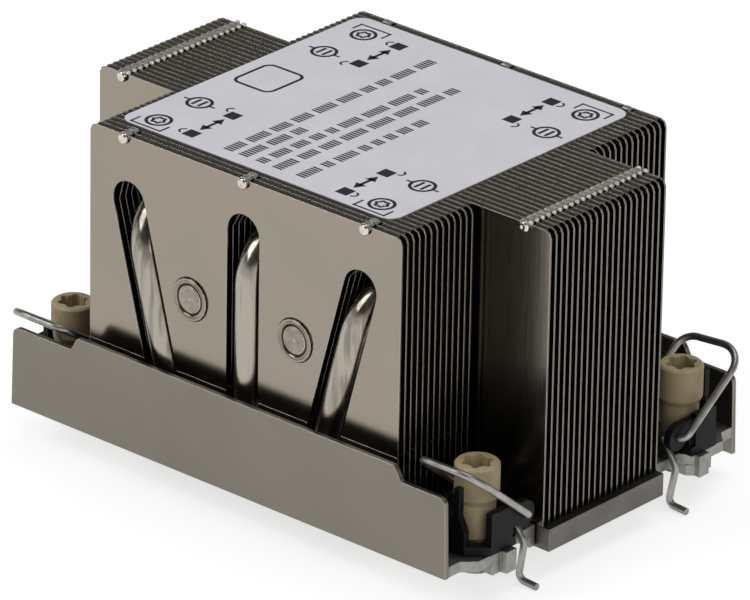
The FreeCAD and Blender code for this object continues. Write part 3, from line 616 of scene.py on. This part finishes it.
# ---- meshes ----
class Piece:
    """Mesh of one added piece, in metres in the heatsink's frame."""

    def __init__(self, name: str) -> None:
        """Start an empty mesh with the given name."""
        self.name = name
        self.mesh = bmesh.new()

    def lathe(self, profile: Sequence[Point2], centre: Point3, axis: Vector, segments: int = 48,
              capped: bool = True) -> None:
        """Turn a profile about an axis.

        Args:
            profile: radius and height pairs in metres.
            centre: point where the height is 0.
            axis: unit axis of the turning.
            segments: sides of the turned form.
            capped: True where both its ends are closed.
        """
        turn = axis.to_track_quat("Z", "Y").to_matrix()
        rings = []
        for radius, height in profile:
            angles = [2.0 * math.pi * k / segments for k in range(segments)]
            places = [Vector((radius * math.cos(a), radius * math.sin(a), height)) for a in angles]
            rings.append([self.mesh.verts.new(Vector(centre) + turn @ place) for place in places])
        for low, high in zip(rings, rings[1:]):
            for k in range(segments):
                n = (k + 1) % segments
                self.mesh.faces.new((low[k], low[n], high[n], high[k]))
        if capped:
            self.mesh.faces.new(rings[-1])
            self.mesh.faces.new(rings[0][::-1])

    def prism(self, first: Sequence[Point3], second: Sequence[Point3]) -> None:
        """Closed form between two matching outlines.

        Args:
            first: corners of one end.
            second: matching corners of the other end.
        """
        low, high = ([self.mesh.verts.new(place) for place in end] for end in (first, second))
        self.mesh.faces.new(high)
        self.mesh.faces.new(low[::-1])
        for k in range(len(low)):
            n = (k + 1) % len(low)
            self.mesh.faces.new((low[k], low[n], high[n], high[k]))

    def plate(self, outline: Sequence[Point2], z: float, thickness: float) -> None:
        """Flat shape that lies level.

        Args:
            outline: corners, anticlockwise from above.
            z: height of its underside.
            thickness: its thickness.
        """
        self.prism([(x, y, z) for x, y in outline], [(x, y, z + thickness) for x, y in outline])

    def band(self, inner: Sequence[Point2], outer: Sequence[Point2], z: float, thickness: float,
             closed: bool = True) -> None:
        """Flat band between two lines of points.

        Args:
            inner: points of one side.
            outer: matching points of the other side.
            z: height of its underside.
            thickness: its thickness.
            closed: True where the band comes back to its start.
        """
        count = len(inner)
        for k in range(count if closed else count - 1):
            n = (k + 1) % count
            self.plate((inner[k], outer[k], outer[n], inner[n]), z, thickness)

    def finish(self, material: Material, slot: str, body: str,
               smooth: float | None = None) -> None:
        """Turn the mesh into an object that rides on a body.

        Args:
            material: its material.
            slot: not used.
            body: body that it moves with.
            smooth: angle in degrees under which edges are shaded smooth.
        """
        bmesh.ops.remove_doubles(self.mesh, verts=self.mesh.verts, dist=WELD_WITHIN)
        bmesh.ops.recalc_face_normals(self.mesh, faces=self.mesh.faces)
        data = bpy.data.meshes.new(self.name)
        self.mesh.to_mesh(data)
        self.mesh.free()
        made = bpy.data.objects.new(self.name, data)
        bpy.context.scene.collection.objects.link(made)
        data.materials.append(material)
        if smooth is not None:
            data.shade_smooth()
            data.set_sharp_from_angle(angle=math.radians(smooth))
        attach(made, body)
        LOG.info("piece %s on %s, %d faces", self.name, body, len(data.polygons))


def dress(nodes: Iterable[str], material: Material) -> None:
    """Give solids of the frame their finish.

    Args:
        nodes: names of the solids.
        material: finish to put in every slot.
    """
    for name in nodes:
        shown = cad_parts[name]
        for place in shown.material_slots:
            place.material = material
        if not shown.material_slots:
            shown.data.materials.append(material)
        LOG.info("solid %s has finish %s", name, material.name)


# ---- sub-assemblies ----
@dataclass
class FinStack:
    """Folded fins of the three groups, with pressed locks on their tabs."""

    groups: tuple[str, ...] = ("fins_front", "fins_centre", "fins_rear")
    pitch: float = 1.5 * MM
    sheet: float = 0.34 * MM
    side_count: int = 13
    centre_count: int = 21
    front_tabs: tuple[float, ...] = (-27.7 * MM, 0.0, 27.7 * MM)
    centre_tabs: tuple[float, ...] = (-46.3 * MM, 46.3 * MM)
    tab_rise: float = 0.45 * MM
    bead_radius: float = 1.05 * MM
    bead_height: float = 0.5 * MM
    bead_crown: float = 0.45
    bead_rings: int = 8
    bead_hollow: tuple[Point2, ...] = ((0.36, 0.9), (0.08, 0.62))
    dimple_radius: float = 0.52 * MM
    dimple_height: float = 0.44 * MM
    dimple_half: float = 0.78 * MM
    dimple_sink: float = 0.02 * MM
    dimple_tip: float = 0.03 * MM
    dimple_rings: int = 5
    foot_height: float = 8.2 * MM
    riser_foot: float = 4.8 * MM
    slot_half: float = 3.72 * MM
    front_risers: tuple[Point3, ...] = (
        (-15.0 * MM, -26.3 * MM, 47.0 * MM), (0.0, 0.0, 49.0 * MM),
        (15.0 * MM, 26.3 * MM, 47.0 * MM))
    rear_risers: tuple[Point3, ...] = (
        (-7.5 * MM, -12.1 * MM, 34.4 * MM), (7.5 * MM, 12.1 * MM, 34.4 * MM))

    def build(self) -> None:
        """Dress the fins, lengthen the outer ones and press the locks into the tabs."""
        finish = FIN_FINISH.make()
        dress(self.groups, finish)
        self.lower_parts(Side.FRONT, self.front_risers, finish)
        self.lower_parts(Side.REAR, self.rear_risers, finish)
        # painted highlight on the domed tab ends
        material = BEAD_HIGHLIGHT_FINISH.make()
        for group, places in (("fins_front", self.front_tabs), ("fins_centre", self.centre_tabs)):
            low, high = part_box(group)
            tag = group.removeprefix("fins_")
            for k, x in enumerate(places):
                foot = (x, low[1], high[2] - self.bead_radius)
                self.bead(f"tab_bead_highlight_{tag}_{k}", foot, material)
        # painted highlight on the pressed dimples
        pressed = DIMPLE_HIGHLIGHT_FINISH.make()
        for k, x in enumerate(self.centre_tabs):
            self.dimples(f"tab_dimples_{k}", x, pressed)

    def slot_edges(self, risers: Sequence[Point3], z0: float, z1: float,
                   half: float) -> list[Point2]:
        """Sides of the sheets that stand between the slots, from left to right.

        Args:
            risers: X at the base, X at the top and height at the top of each pipe.
            z0: lower edge of the sheets.
            z1: upper edge of the sheets.
            half: half length of a fin.

        Returns:
            X at the lower edge and X at the upper edge of each side, two sides a sheet.
        """
        edges = [(-half, -half)]
        for x_low, x_high, z_high in risers:
            slope = (x_high - x_low) / (z_high - self.riser_foot)
            wide = self.slot_half * math.hypot(1.0, slope)
            low, high = (x_low + slope * (z - self.riser_foot) for z in (z0, z1))
            edges += [(low - wide, high - wide), (low + wide, high + wide)]
        return edges + [(half, half)]

    def lower_parts(self, side: Side, risers: Sequence[Point3], material: Material) -> None:
        """Lower parts of the short fins, which reach down behind the wall between the pipes.

        Args:
            side: side of the stack.
            risers: X at the base, X at the top and height at the top of each pipe there.
            material: finish of the fins.
        """
        low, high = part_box("fins_front" if side is Side.FRONT else "fins_rear")
        z0, z1 = self.foot_height, low[2]
        edges = self.slot_edges(risers, z0, z1, high[0])
        made = Piece(f"fin_lower_parts_{side.name.lower()}")
        outer = (self.side_count + self.centre_count // 2) * self.pitch * side.value
        half = 0.5 * self.sheet
        for k in range(self.side_count):
            y = outer - side.value * k * self.pitch
            for (a0, a1), (b0, b1) in zip(edges[::2], edges[1::2]):
                outline = ((a0, z0), (b0, z0), (b1, z1), (a1, z1))
                near, far = ([(x, y + shift, z) for x, z in outline] for shift in (-half, half))
                made.prism(near, far)
        made.finish(material, "fin_nickel", HEATSINK)

    def dimples(self, name: str, x: float, material: Material) -> None:
        """Two small domes on the tab of each long fin, where the lock is pressed in.

        Args:
            name: name of the piece.
            x: X of the row of tabs.
            material: its finish.
        """
        low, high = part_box("fins_centre")
        made = Piece(name)
        foot = high[2] - self.tab_rise - self.dimple_sink
        turns = [0.5 * math.pi * j / self.dimple_rings for j in range(self.dimple_rings)]
        profile = [(self.dimple_radius * math.cos(a), self.dimple_height * math.sin(a))
                   for a in turns]
        profile.append((self.dimple_tip, self.dimple_height))
        for k in range(self.centre_count):
            y = 0.5 * (low[1] + high[1]) + (k - 0.5 * (self.centre_count - 1)) * self.pitch
            for sx in (-1.0, 1.0):
                made.lathe(profile, (x + sx * self.dimple_half, y, foot), UP, segments=16)
        made.finish(material, "fin_nickel", HEATSINK, smooth=60.0)

    def bead(self, name: str, centre: Point3, material: Material) -> None:
        """Domed end of a tab with a small hollow, pressed over the face of the first fin.

        Args:
            name: name of the piece.
            centre: middle of its foot.
            material: its finish.
        """
        made = Piece(name)
        radius, height, crown = self.bead_radius, self.bead_height, self.bead_crown
        turns = [0.5 * math.pi * k / self.bead_rings for k in range(self.bead_rings)]
        profile = [(radius * (crown + (1.0 - crown) * math.cos(a)), height * math.sin(a))
                   for a in turns]
        profile += [(r * radius, h * height) for r, h in self.bead_hollow]
        made.lathe(profile, centre, FORWARD, segments=32)
        made.finish(material, "fin_nickel", HEATSINK, smooth=60.0)


@dataclass
class HeatPipes:
    """Five bent pipes with closed ends."""

    front: tuple[str, ...] = (
        "heat_pipe_front_left", "heat_pipe_front_mid", "heat_pipe_front_right")
    rear: tuple[str, ...] = ("heat_pipe_rear_left", "heat_pipe_rear_right")
    radius: float = 3.0 * MM
    tip_out: float = 0.25 * MM
    middle_within: float = 0.01 * MM
    cap_radius: float = 2.3 * MM
    cap_foot: float = 0.1 * MM
    cap_profile: tuple[Point2, ...] = (
        (1.0, 0.27 * MM), (0.92, 0.31 * MM), (0.60, 0.29 * MM), (0.16, 0.27 * MM),
        (0.07, 0.22 * MM))
    groove_radius: float = 2.85 * MM
    groove_face: Span = (0.2 * MM, 0.22 * MM)
    collar_radius: float = 3.62 * MM
    collar_height: float = 0.35 * MM
    lip_in: tuple[Point2, ...] = (
        (0.05 * MM, -0.12 * MM), (0.15 * MM, 0.03 * MM), (0.35 * MM, 0.08 * MM))
    lip_out: tuple[Point2, ...] = (
        (-0.35 * MM, 0.08 * MM), (-0.12 * MM, 0.01 * MM), (0.0, -0.16 * MM))
    foot_radius: float = 4.1 * MM
    foot_face: Span = (-0.05 * MM, 0.03 * MM)

    def build(self) -> None:
        """Dress the pipes and close their ends."""
        dress(self.front + self.rear, PIPE_FINISH.make())
        # the middle finish is the painted shade of the dark rings
        finishes = (CAP_FINISH.make(), GROOVE_SHADE_FINISH.make(), COLLAR_FINISH.make())
        for name in self.rear:
            self.pipe_end(name, Side.FRONT, finishes)
        for name in self.front:
            self.pipe_end(name, Side.REAR, finishes)

    def pipe_end(self, node: str, side: Side, finishes: Sequence[Material]) -> None:
        """Closed pipe end with the rolled collar around it, and flat near-black rings of painted
        shade in the recess round the end and at the collar's foot.

        Args:
            node: pipe whose end shows.
            side: side of the stack on which it shows.
            finishes: finishes of the closed end, the painted shade rings and the collar.
        """
        low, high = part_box(node)
        across = 0.0
        if abs(low[0] + high[0]) > self.middle_within:
            leans_left = abs(low[0]) > abs(high[0])
            across = low[0] + self.radius if leans_left else high[0] - self.radius
        end = low[1] if side is Side.FRONT else high[1]
        out = Vector((0.0, float(side.value), 0.0))
        centre = (across, end - side.value * self.tip_out, high[2] - self.radius)
        tag = node.replace("heat_pipe_", "")

        cap, r = Piece("pipe_cap_" + tag), self.cap_radius
        profile = [(r, self.cap_foot)] + [(share * r, z) for share, z in self.cap_profile]
        cap.lathe(profile, centre, out)
        cap.finish(finishes[0], "pipe_nickel", HEATSINK, smooth=50.0)

        # painted shade: flat near-black rings in the recess round the closed end and at the
        # collar's foot
        shade_ring = Piece("pipe_groove_shade_" + tag)
        shade_ring_spans = ((self.cap_radius, self.groove_radius, self.groove_face),
                   (self.collar_radius, self.foot_radius, self.foot_face))
        for inner, outer, (back, face) in shade_ring_spans:
            corners = ((inner, back), (inner, face), (outer, face), (outer, back), (inner, back))
            shade_ring.lathe(corners, centre, out, capped=False)
        shade_ring.finish(finishes[1], "fin_nickel", HEATSINK)

        collar, top = Piece("pipe_collar_" + tag), self.collar_height
        lip = [(self.groove_radius + dr, top + dz) for dr, dz in self.lip_in]
        lip += [(self.collar_radius + dr, top + dz) for dr, dz in self.lip_out]
        collar.lathe(lip + [(self.collar_radius, 0.0)], centre, out, capped=False)
        collar.finish(finishes[2], "fin_nickel", HEATSINK, smooth=60.0)
        LOG.info("pipe end %s at x %.4f z %.4f", tag, across, centre[2])


@dataclass
class Base:
    """Cold plate, base and the screws that carry the side frames."""

    def build(self) -> None:
        """Dress the base, the cold plate and the screws."""
        dress(("base_plate",), BASE_FINISH.make())
        dress(("contact_plate",), COPPER_FINISH.make())
        dress(("frame_screws",), SCREW_FINISH.make())


@dataclass
class SideFrames:
    """Long walls with their ears."""

    def build(self) -> None:
        """Dress both frames."""
        dress(("frame_front", "frame_rear"), FRAME_FINISH.make())


@dataclass
class CornerSets:
    """Nut, spacer, clip, holder and wire at each corner."""

    def build(self) -> None:
        """Dress the five pieces of each corner."""
        stems = (("nut_", NUT_FINISH), ("nut_washer_", WASHER_FINISH), ("nut_clip_", CLIP_FINISH),
                 ("wire_holder_", HOLDER_FINISH), ("wire_bail_", WIRE_FINISH))
        for stem, finish in stems:
            dress([stem + tag for tag in CORNERS], finish.make())


@dataclass
class LabelPrint:
    """Plain marks on the label: rings, brackets, arrows, blocks and rows of short strokes."""

    ink_thickness: float = 0.012 * MM
    line: float = 0.42 * MM
    heavy: float = 0.62 * MM
    left_x: Span = (-27.5 * MM, -27.0 * MM)
    right_x: Span = (23.9 * MM, 24.4 * MM)
    ring_radius: float = 2.2 * MM
    wavy_share: float = 0.48
    wave: float = 0.16 * MM
    waves: int = 6
    ring_sides: int = 48
    ring_y: float = 26.3 * MM
    bracket_half: float = 3.6 * MM
    bracket_span: Span = (0.9 * MM, 3.6 * MM)
    bar_ring_y: float = 15.9 * MM
    arm_reach: float = 3.6 * MM
    arm_half: float = 0.22 * MM
    bar_at: float = 0.7 * MM
    bar_half: Point2 = (0.3 * MM, 1.35 * MM)
    block: float = 1.3 * MM
    block_in: float = 8.0 * MM
    block_y: Span = (26.6 * MM, 16.1 * MM)
    loop_shift: Span = (0.0, 1.6 * MM)
    loop_out: float = 0.5 * MM
    loop_radii: Span = (0.62 * MM, 1.02 * MM)
    arrow_span: Span = (18.2 * MM, 24.6 * MM)
    arrow_half: float = 0.34 * MM
    arrow_neck: float = 1.4 * MM
    arrow_head: Point2 = (1.15 * MM, 2.1 * MM)
    field_middle: Point2 = (-26.0 * MM, 0.3 * MM)
    field_half: Point2 = (4.3 * MM, 4.9 * MM)
    field_round: float = 1.6 * MM
    field_steps: int = 6
    loop_steps: int = 12
    rows: tuple[Point3, ...] = (
        (-10.3 * MM, -27.5 * MM, 28.0 * MM), (-6.8 * MM, -27.5 * MM, -10.5 * MM),
        (-2.9 * MM, -27.5 * MM, 17.8 * MM), (1.0 * MM, -27.5 * MM, 21.3 * MM),
        (6.2 * MM, -27.3 * MM, 7.0 * MM))
    stroke: float = 0.46 * MM
    stroke_gap: float = 0.26 * MM
    stroke_half: float = 1.1 * MM
    group_counts: tuple[int, int] = (3, 8)
    group_gap: float = 1.6
    seed: int = 11
    top: float = field(init=False, default=0.0)
    piece: Piece = field(init=False)

    def build(self) -> None:
        """Dress the label and print its marks."""
        dress(("label",), LABEL_FINISH.make())
        self.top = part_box("label")[1][2]
        self.piece = Piece("label_marks")
        for sy, left, right in zip((-1.0, 1.0), self.left_x, self.right_x):
            self.corner(left, sy, -1.0)
            self.corner(right, sy, 1.0)
        self.plain_field()
        self.piece.finish(INK_FINISH.make(), "label_sheet", HEATSINK)
        self.piece = Piece("label_strokes")
        chooser = random.Random(self.seed)
        for x, y0, y1 in self.rows:
            self.stroke_row(x, y0, y1, chooser)
        self.piece.finish(TEXT_FINISH.make(), "label_sheet", HEATSINK)

    def circle(self, x: float, y: float, r: float, wave: float) -> list[Point2]:
        """Points of a circle, all in metres.

        Args:
            x: X of its middle.
            y: Y of its middle.
            r: its radius.
            wave: rise and fall of the radius on the way round.

        Returns:
            The points, anticlockwise.
        """
        turns = [2.0 * math.pi * k / self.ring_sides for k in range(self.ring_sides)]
        radii = [r + wave * math.cos(self.waves * a) for a in turns]
        return [(x + q * math.cos(a), y + q * math.sin(a)) for a, q in zip(turns, radii)]

    def ring(self, x: float, y: float, r: float, wave: float = 0.0) -> None:
        """Heavy ring, in metres.

        Args:
            x: X of its middle.
            y: Y of its middle.
            r: radius of the line's middle.
            wave: rise and fall of the radius on the way round.
        """
        half = 0.5 * self.heavy
        inner, outer = (self.circle(x, y, r + grow, wave) for grow in (-half, half))
        self.band(inner, outer)

    def band(self, inner: Sequence[Point2], outer: Sequence[Point2], closed: bool = True) -> None:
        """Printed band between two lines of points, closed or open at its ends."""
        self.piece.band(inner, outer, self.top, self.ink_thickness, closed)

    def bar(self, x0: float, x1: float, y0: float, y1: float) -> None:
        """Filled block between two corners, in metres."""
        self.patch((x0, y0), (x1, y0), (x1, y1), (x0, y1))

    def patch(self, *corners: Point2) -> None:
        """Filled field with the given corners, in metres."""
        self.piece.plate(corners, self.top, self.ink_thickness)

    def plain_field(self) -> None:
        """Plain outlined field with rounded corners."""
        r, lines = self.field_round, []
        (x, y), (half_x, half_y) = self.field_middle, self.field_half
        for grow in (-0.5 * self.heavy, 0.5 * self.heavy):
            points = []
            for q, (sx, sy) in enumerate(((1, 1), (-1, 1), (-1, -1), (1, -1))):
                for k in range(self.field_steps + 1):
                    a = 0.5 * math.pi * (q + k / self.field_steps)
                    points.append((x + sx * (half_x - r) + (r + grow) * math.cos(a),
                                   y + sy * (half_y - r) + (r + grow) * math.sin(a)))
            lines.append(points)
        self.band(*lines)

    def corner(self, x: float, sy: float, inward: float) -> None:
        """Marks of one label corner.

        Args:
            x: X of the corner's rings.
            sy: sign of Y.
            inward: -1 where the arrow lies on the rings' +X side, 1 where on the -X side.
        """
        self.bracketed_ring(x, sy)
        self.barred_ring(x, sy * self.bar_ring_y)
        block_x, q = x - inward * self.block_in, self.block
        for height, shift in zip(self.block_y, self.loop_shift):
            y = sy * height
            self.bar(block_x - q, block_x + q, y - q, y + q)
            self.loop(block_x + inward * q, y - sy * shift, inward)
        self.arrow(block_x, sy)

    def bracketed_ring(self, x: float, sy: float) -> None:
        """Ring with a wavy ring in it and a bracket on its outer side.

        Args:
            x: X of its middle.
            sy: sign of Y.
        """
        y, line, w = sy * self.ring_y, self.line, self.bracket_half
        self.ring(x, y, self.ring_radius)
        self.ring(x, y, self.wavy_share * self.ring_radius, self.wave)
        foot, top = (y + sy * reach for reach in self.bracket_span)
        self.bar(x - w, x + w, *sorted((top, top - sy * line)))
        for edge in (x - w, x + w - line):
            self.bar(edge, edge + line, *sorted((foot, top)))

    def barred_ring(self, x: float, y: float) -> None:
        """Ring with an arm on each side and two bars in it.

        Args:
            x: X of its middle.
            y: Y of its middle.
        """
        self.ring(x, y, self.ring_radius)
        for sx in (-1.0, 1.0):
            x0, x1 = sorted((x + sx * self.ring_radius, x + sx * self.arm_reach))
            self.bar(x0, x1, y - self.arm_half, y + self.arm_half)
        half_x, half_y = self.bar_half
        for dx in (-self.bar_at, self.bar_at):
            self.bar(x + dx - half_x, x + dx + half_x, y - half_y, y + half_y)

    def arrow(self, x: float, sy: float) -> None:
        """Double arrow along Y.

        Args:
            x: X of its middle.
            sy: sign of Y.
        """
        y0, y1 = sorted(sy * y for y in self.arrow_span)
        wide, tall = self.arrow_head
        self.bar(x - self.arrow_half, x + self.arrow_half, y0 + self.arrow_neck,
                 y1 - self.arrow_neck)
        self.patch((x, y0), (x + wide, y0 + tall), (x - wide, y0 + tall))
        self.patch((x, y1), (x - wide, y1 - tall), (x + wide, y1 - tall))

    def loop(self, x: float, y: float, inward: float) -> None:
        """Half ring that stands on a block.

        Args:
            x: X of the block's side.
            y: Y of the half ring's middle.
            inward: sign of the direction along X in which it bulges.
        """
        angles = [math.pi * (k / self.loop_steps - 0.5) for k in range(self.loop_steps + 1)]
        inner, outer = ([(x + inward * (self.loop_out + r * math.cos(a)), y + r * math.sin(a))
                         for a in angles] for r in self.loop_radii)
        self.band(inner, outer, False)

    def stroke_row(self, x: float, y0: float, y1: float, chooser: random.Random) -> None:
        """Row of short plain strokes in groups, which stands for small print.

        Args:
            x: X of the row's middle.
            y0: start of the row.
            y1: end of the row.
            chooser: seeded source of the group lengths.
        """
        y, step, half = y0, self.stroke + self.stroke_gap, self.stroke_half
        while y < y1 - 2.0 * step:
            for _ in range(chooser.randint(*self.group_counts)):
                if y + self.stroke > y1:
                    break
                self.bar(x - half, x + half, y, y + self.stroke)
                y += step
            y += self.group_gap * step


# ---- studio ----
@dataclass
class Studio:
    """Plain pale floor, soft lights and the camera: angles in degrees, its lens in millimetres."""

    azimuth: float = 41.125
    elevation: float = 24.732
    roll: float = 1.015
    distance: float = 1.49341
    shift_right: float = 0.000192
    shift_up: float = 0.020892
    aim_height: float = 0.0035
    focal: float = 408.566
    sensor: float = 36.0
    floor_tone: Colour = (0.48, 0.48, 0.48)
    floor_tone_high: Colour = (0.50, 0.50, 0.50)
    floor_grain: float = 0.3
    floor_half: float = 6.0
    floor_glow: float = 0.70
    sky_level: float = 0.40
    ceiling_angles: Span = (9.0, 19.0)
    ceiling_level: float = 0.09
    lamp_aim: Point3 = (0.0, 0.0, 0.03)
    lamps: tuple[tuple[str, Point3, float, float], ...] = (
        ("key", (-0.55, -0.75, 0.85), 0.70, 5.2),
        ("fill", (0.85, -0.35, 0.45), 0.60, 1.8),
        ("top", (0.10, 0.35, 1.00), 0.60, 3.0))

    def build(self) -> None:
        """Place camera, floor, sky and lights."""
        self.camera()
        self.floor()
        self.sky()
        for name, place, size, power in self.lamps:
            self.lamp(name, place, size, power)

    def camera(self) -> None:
        """Long lens at the height and side from which the object is shown."""
        az, el, roll = (math.radians(a) for a in (self.azimuth, self.elevation, self.roll))
        back = Vector((math.sin(az) * math.cos(el), -math.cos(az) * math.cos(el), math.sin(el)))
        right = Vector((math.cos(az), math.sin(az), 0.0))
        up = back.cross(right)
        level_right = right * math.cos(roll) + up * math.sin(roll)
        level_up = up * math.cos(roll) - right * math.sin(roll)
        eye = back * self.distance + level_right * self.shift_right + level_up * self.shift_up
        eye.z += self.aim_height
        lens = bpy.data.cameras.new("camera")
        lens.lens = self.focal
        lens.sensor_width = self.sensor
        lens.clip_start = 0.1
        lens.clip_end = 50.0
        made = bpy.data.objects.new("camera", lens)
        basis = Matrix((level_right, level_up, back)).transposed().to_4x4()
        made.matrix_world = Matrix.Translation(eye) @ basis
        bpy.context.scene.collection.objects.link(made)
        bpy.context.scene.camera = made

    def floor(self) -> None:
        """Wide pale floor under the lowest point of the part."""
        level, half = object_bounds()[0][2], self.floor_half
        corners = [(-half, -half, level), (half, -half, level), (half, half, level),
                   (-half, half, level)]
        data = bpy.data.meshes.new("floor")
        data.from_pydata(corners, [], [(0, 1, 2, 3)])
        made = bpy.data.objects.new("floor", data)
        bpy.context.scene.collection.objects.link(made)
        bench = Bench("floor_white")
        shade = bench.node("ShaderNodeBsdfDiffuse")
        grain = bench.noise(self.floor_grain, detail=2.0)
        tone = bench.ramp(grain, NOISE_SPAN, self.floor_tone, self.floor_tone_high)
        bench.link(tone, shade.inputs["Color"])
        glow = bench.node("ShaderNodeEmission")
        path = bench.node("ShaderNodeLightPath")
        mirrored = bench.either(path.outputs["Is Glossy Ray"], path.outputs["Is Transmission Ray"])
        seen = bench.either(path.outputs["Is Camera Ray"], mirrored)
        bench.link(bench.spread(seen, 0.0, 1.0, 0.0, self.floor_glow), glow.inputs["Strength"])
        both = bench.node("ShaderNodeAddShader")
        bench.link(shade.outputs["BSDF"], both.inputs[0])
        bench.link(glow.outputs["Emission"], both.inputs[1])
        bench.link(both.outputs["Shader"], bench.output.inputs["Surface"])
        data.materials.append(bench.material)
        made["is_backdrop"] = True

    def sky(self) -> None:
        """Surroundings: white round about, a dim ceiling in mirrors, plain light on the part."""
        world = bpy.data.worlds.new("sky")
        world.use_nodes = True
        bench = Bench("", world)
        path = bench.node("ShaderNodeLightPath")
        heading = bench.node("ShaderNodeSeparateXYZ")
        bench.link(bench.node("ShaderNodeTexCoord").outputs["Generated"], heading.inputs[0])
        low, high = (math.sin(math.radians(a)) for a in self.ceiling_angles)
        mirrored = bench.spread(heading.outputs[2], low, high, 1.0, self.ceiling_level)
        glossy = bench.either(path.outputs["Is Glossy Ray"], path.outputs["Is Transmission Ray"])
        level = bench.pick(glossy, self.sky_level, mirrored)
        back = bench.node("ShaderNodeBackground")
        bench.link(bench.pick(path.outputs["Is Camera Ray"], level, 1.0), back.inputs["Strength"])
        bench.link(back.outputs["Background"], bench.output.inputs["Surface"])
        bpy.context.scene.world = world

    def lamp(self, name: str, place: Point3, size: float, power: float) -> None:
        """Soft square lamp that faces the part.

        Args:
            name: name of the lamp.
            place: its position in metres.
            size: its side in metres.
            power: its power in watts.
        """
        light = bpy.data.lights.new(name, "AREA")
        light.size = size
        light.energy = power
        made = bpy.data.objects.new(name, light)
        made.location = place
        aim = Vector(self.lamp_aim) - Vector(place)
        made.rotation_euler = aim.to_track_quat("-Z", "Y").to_euler()
        bpy.context.scene.collection.objects.link(made)


def main() -> None:
    """Build the studio and every sub-assembly in order."""
    logging.basicConfig(level=logging.INFO, format="%(name)s: %(message)s")
    bpy.context.scene.view_settings.view_transform = "Standard"
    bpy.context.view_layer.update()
    parts = (Studio(), Base(), SideFrames(), HeatPipes(), FinStack(), CornerSets(), LabelPrint())
    for part in parts:
        part.build()
        LOG.info("%s built", type(part).__name__)


if __name__ == "__main__":
    main()
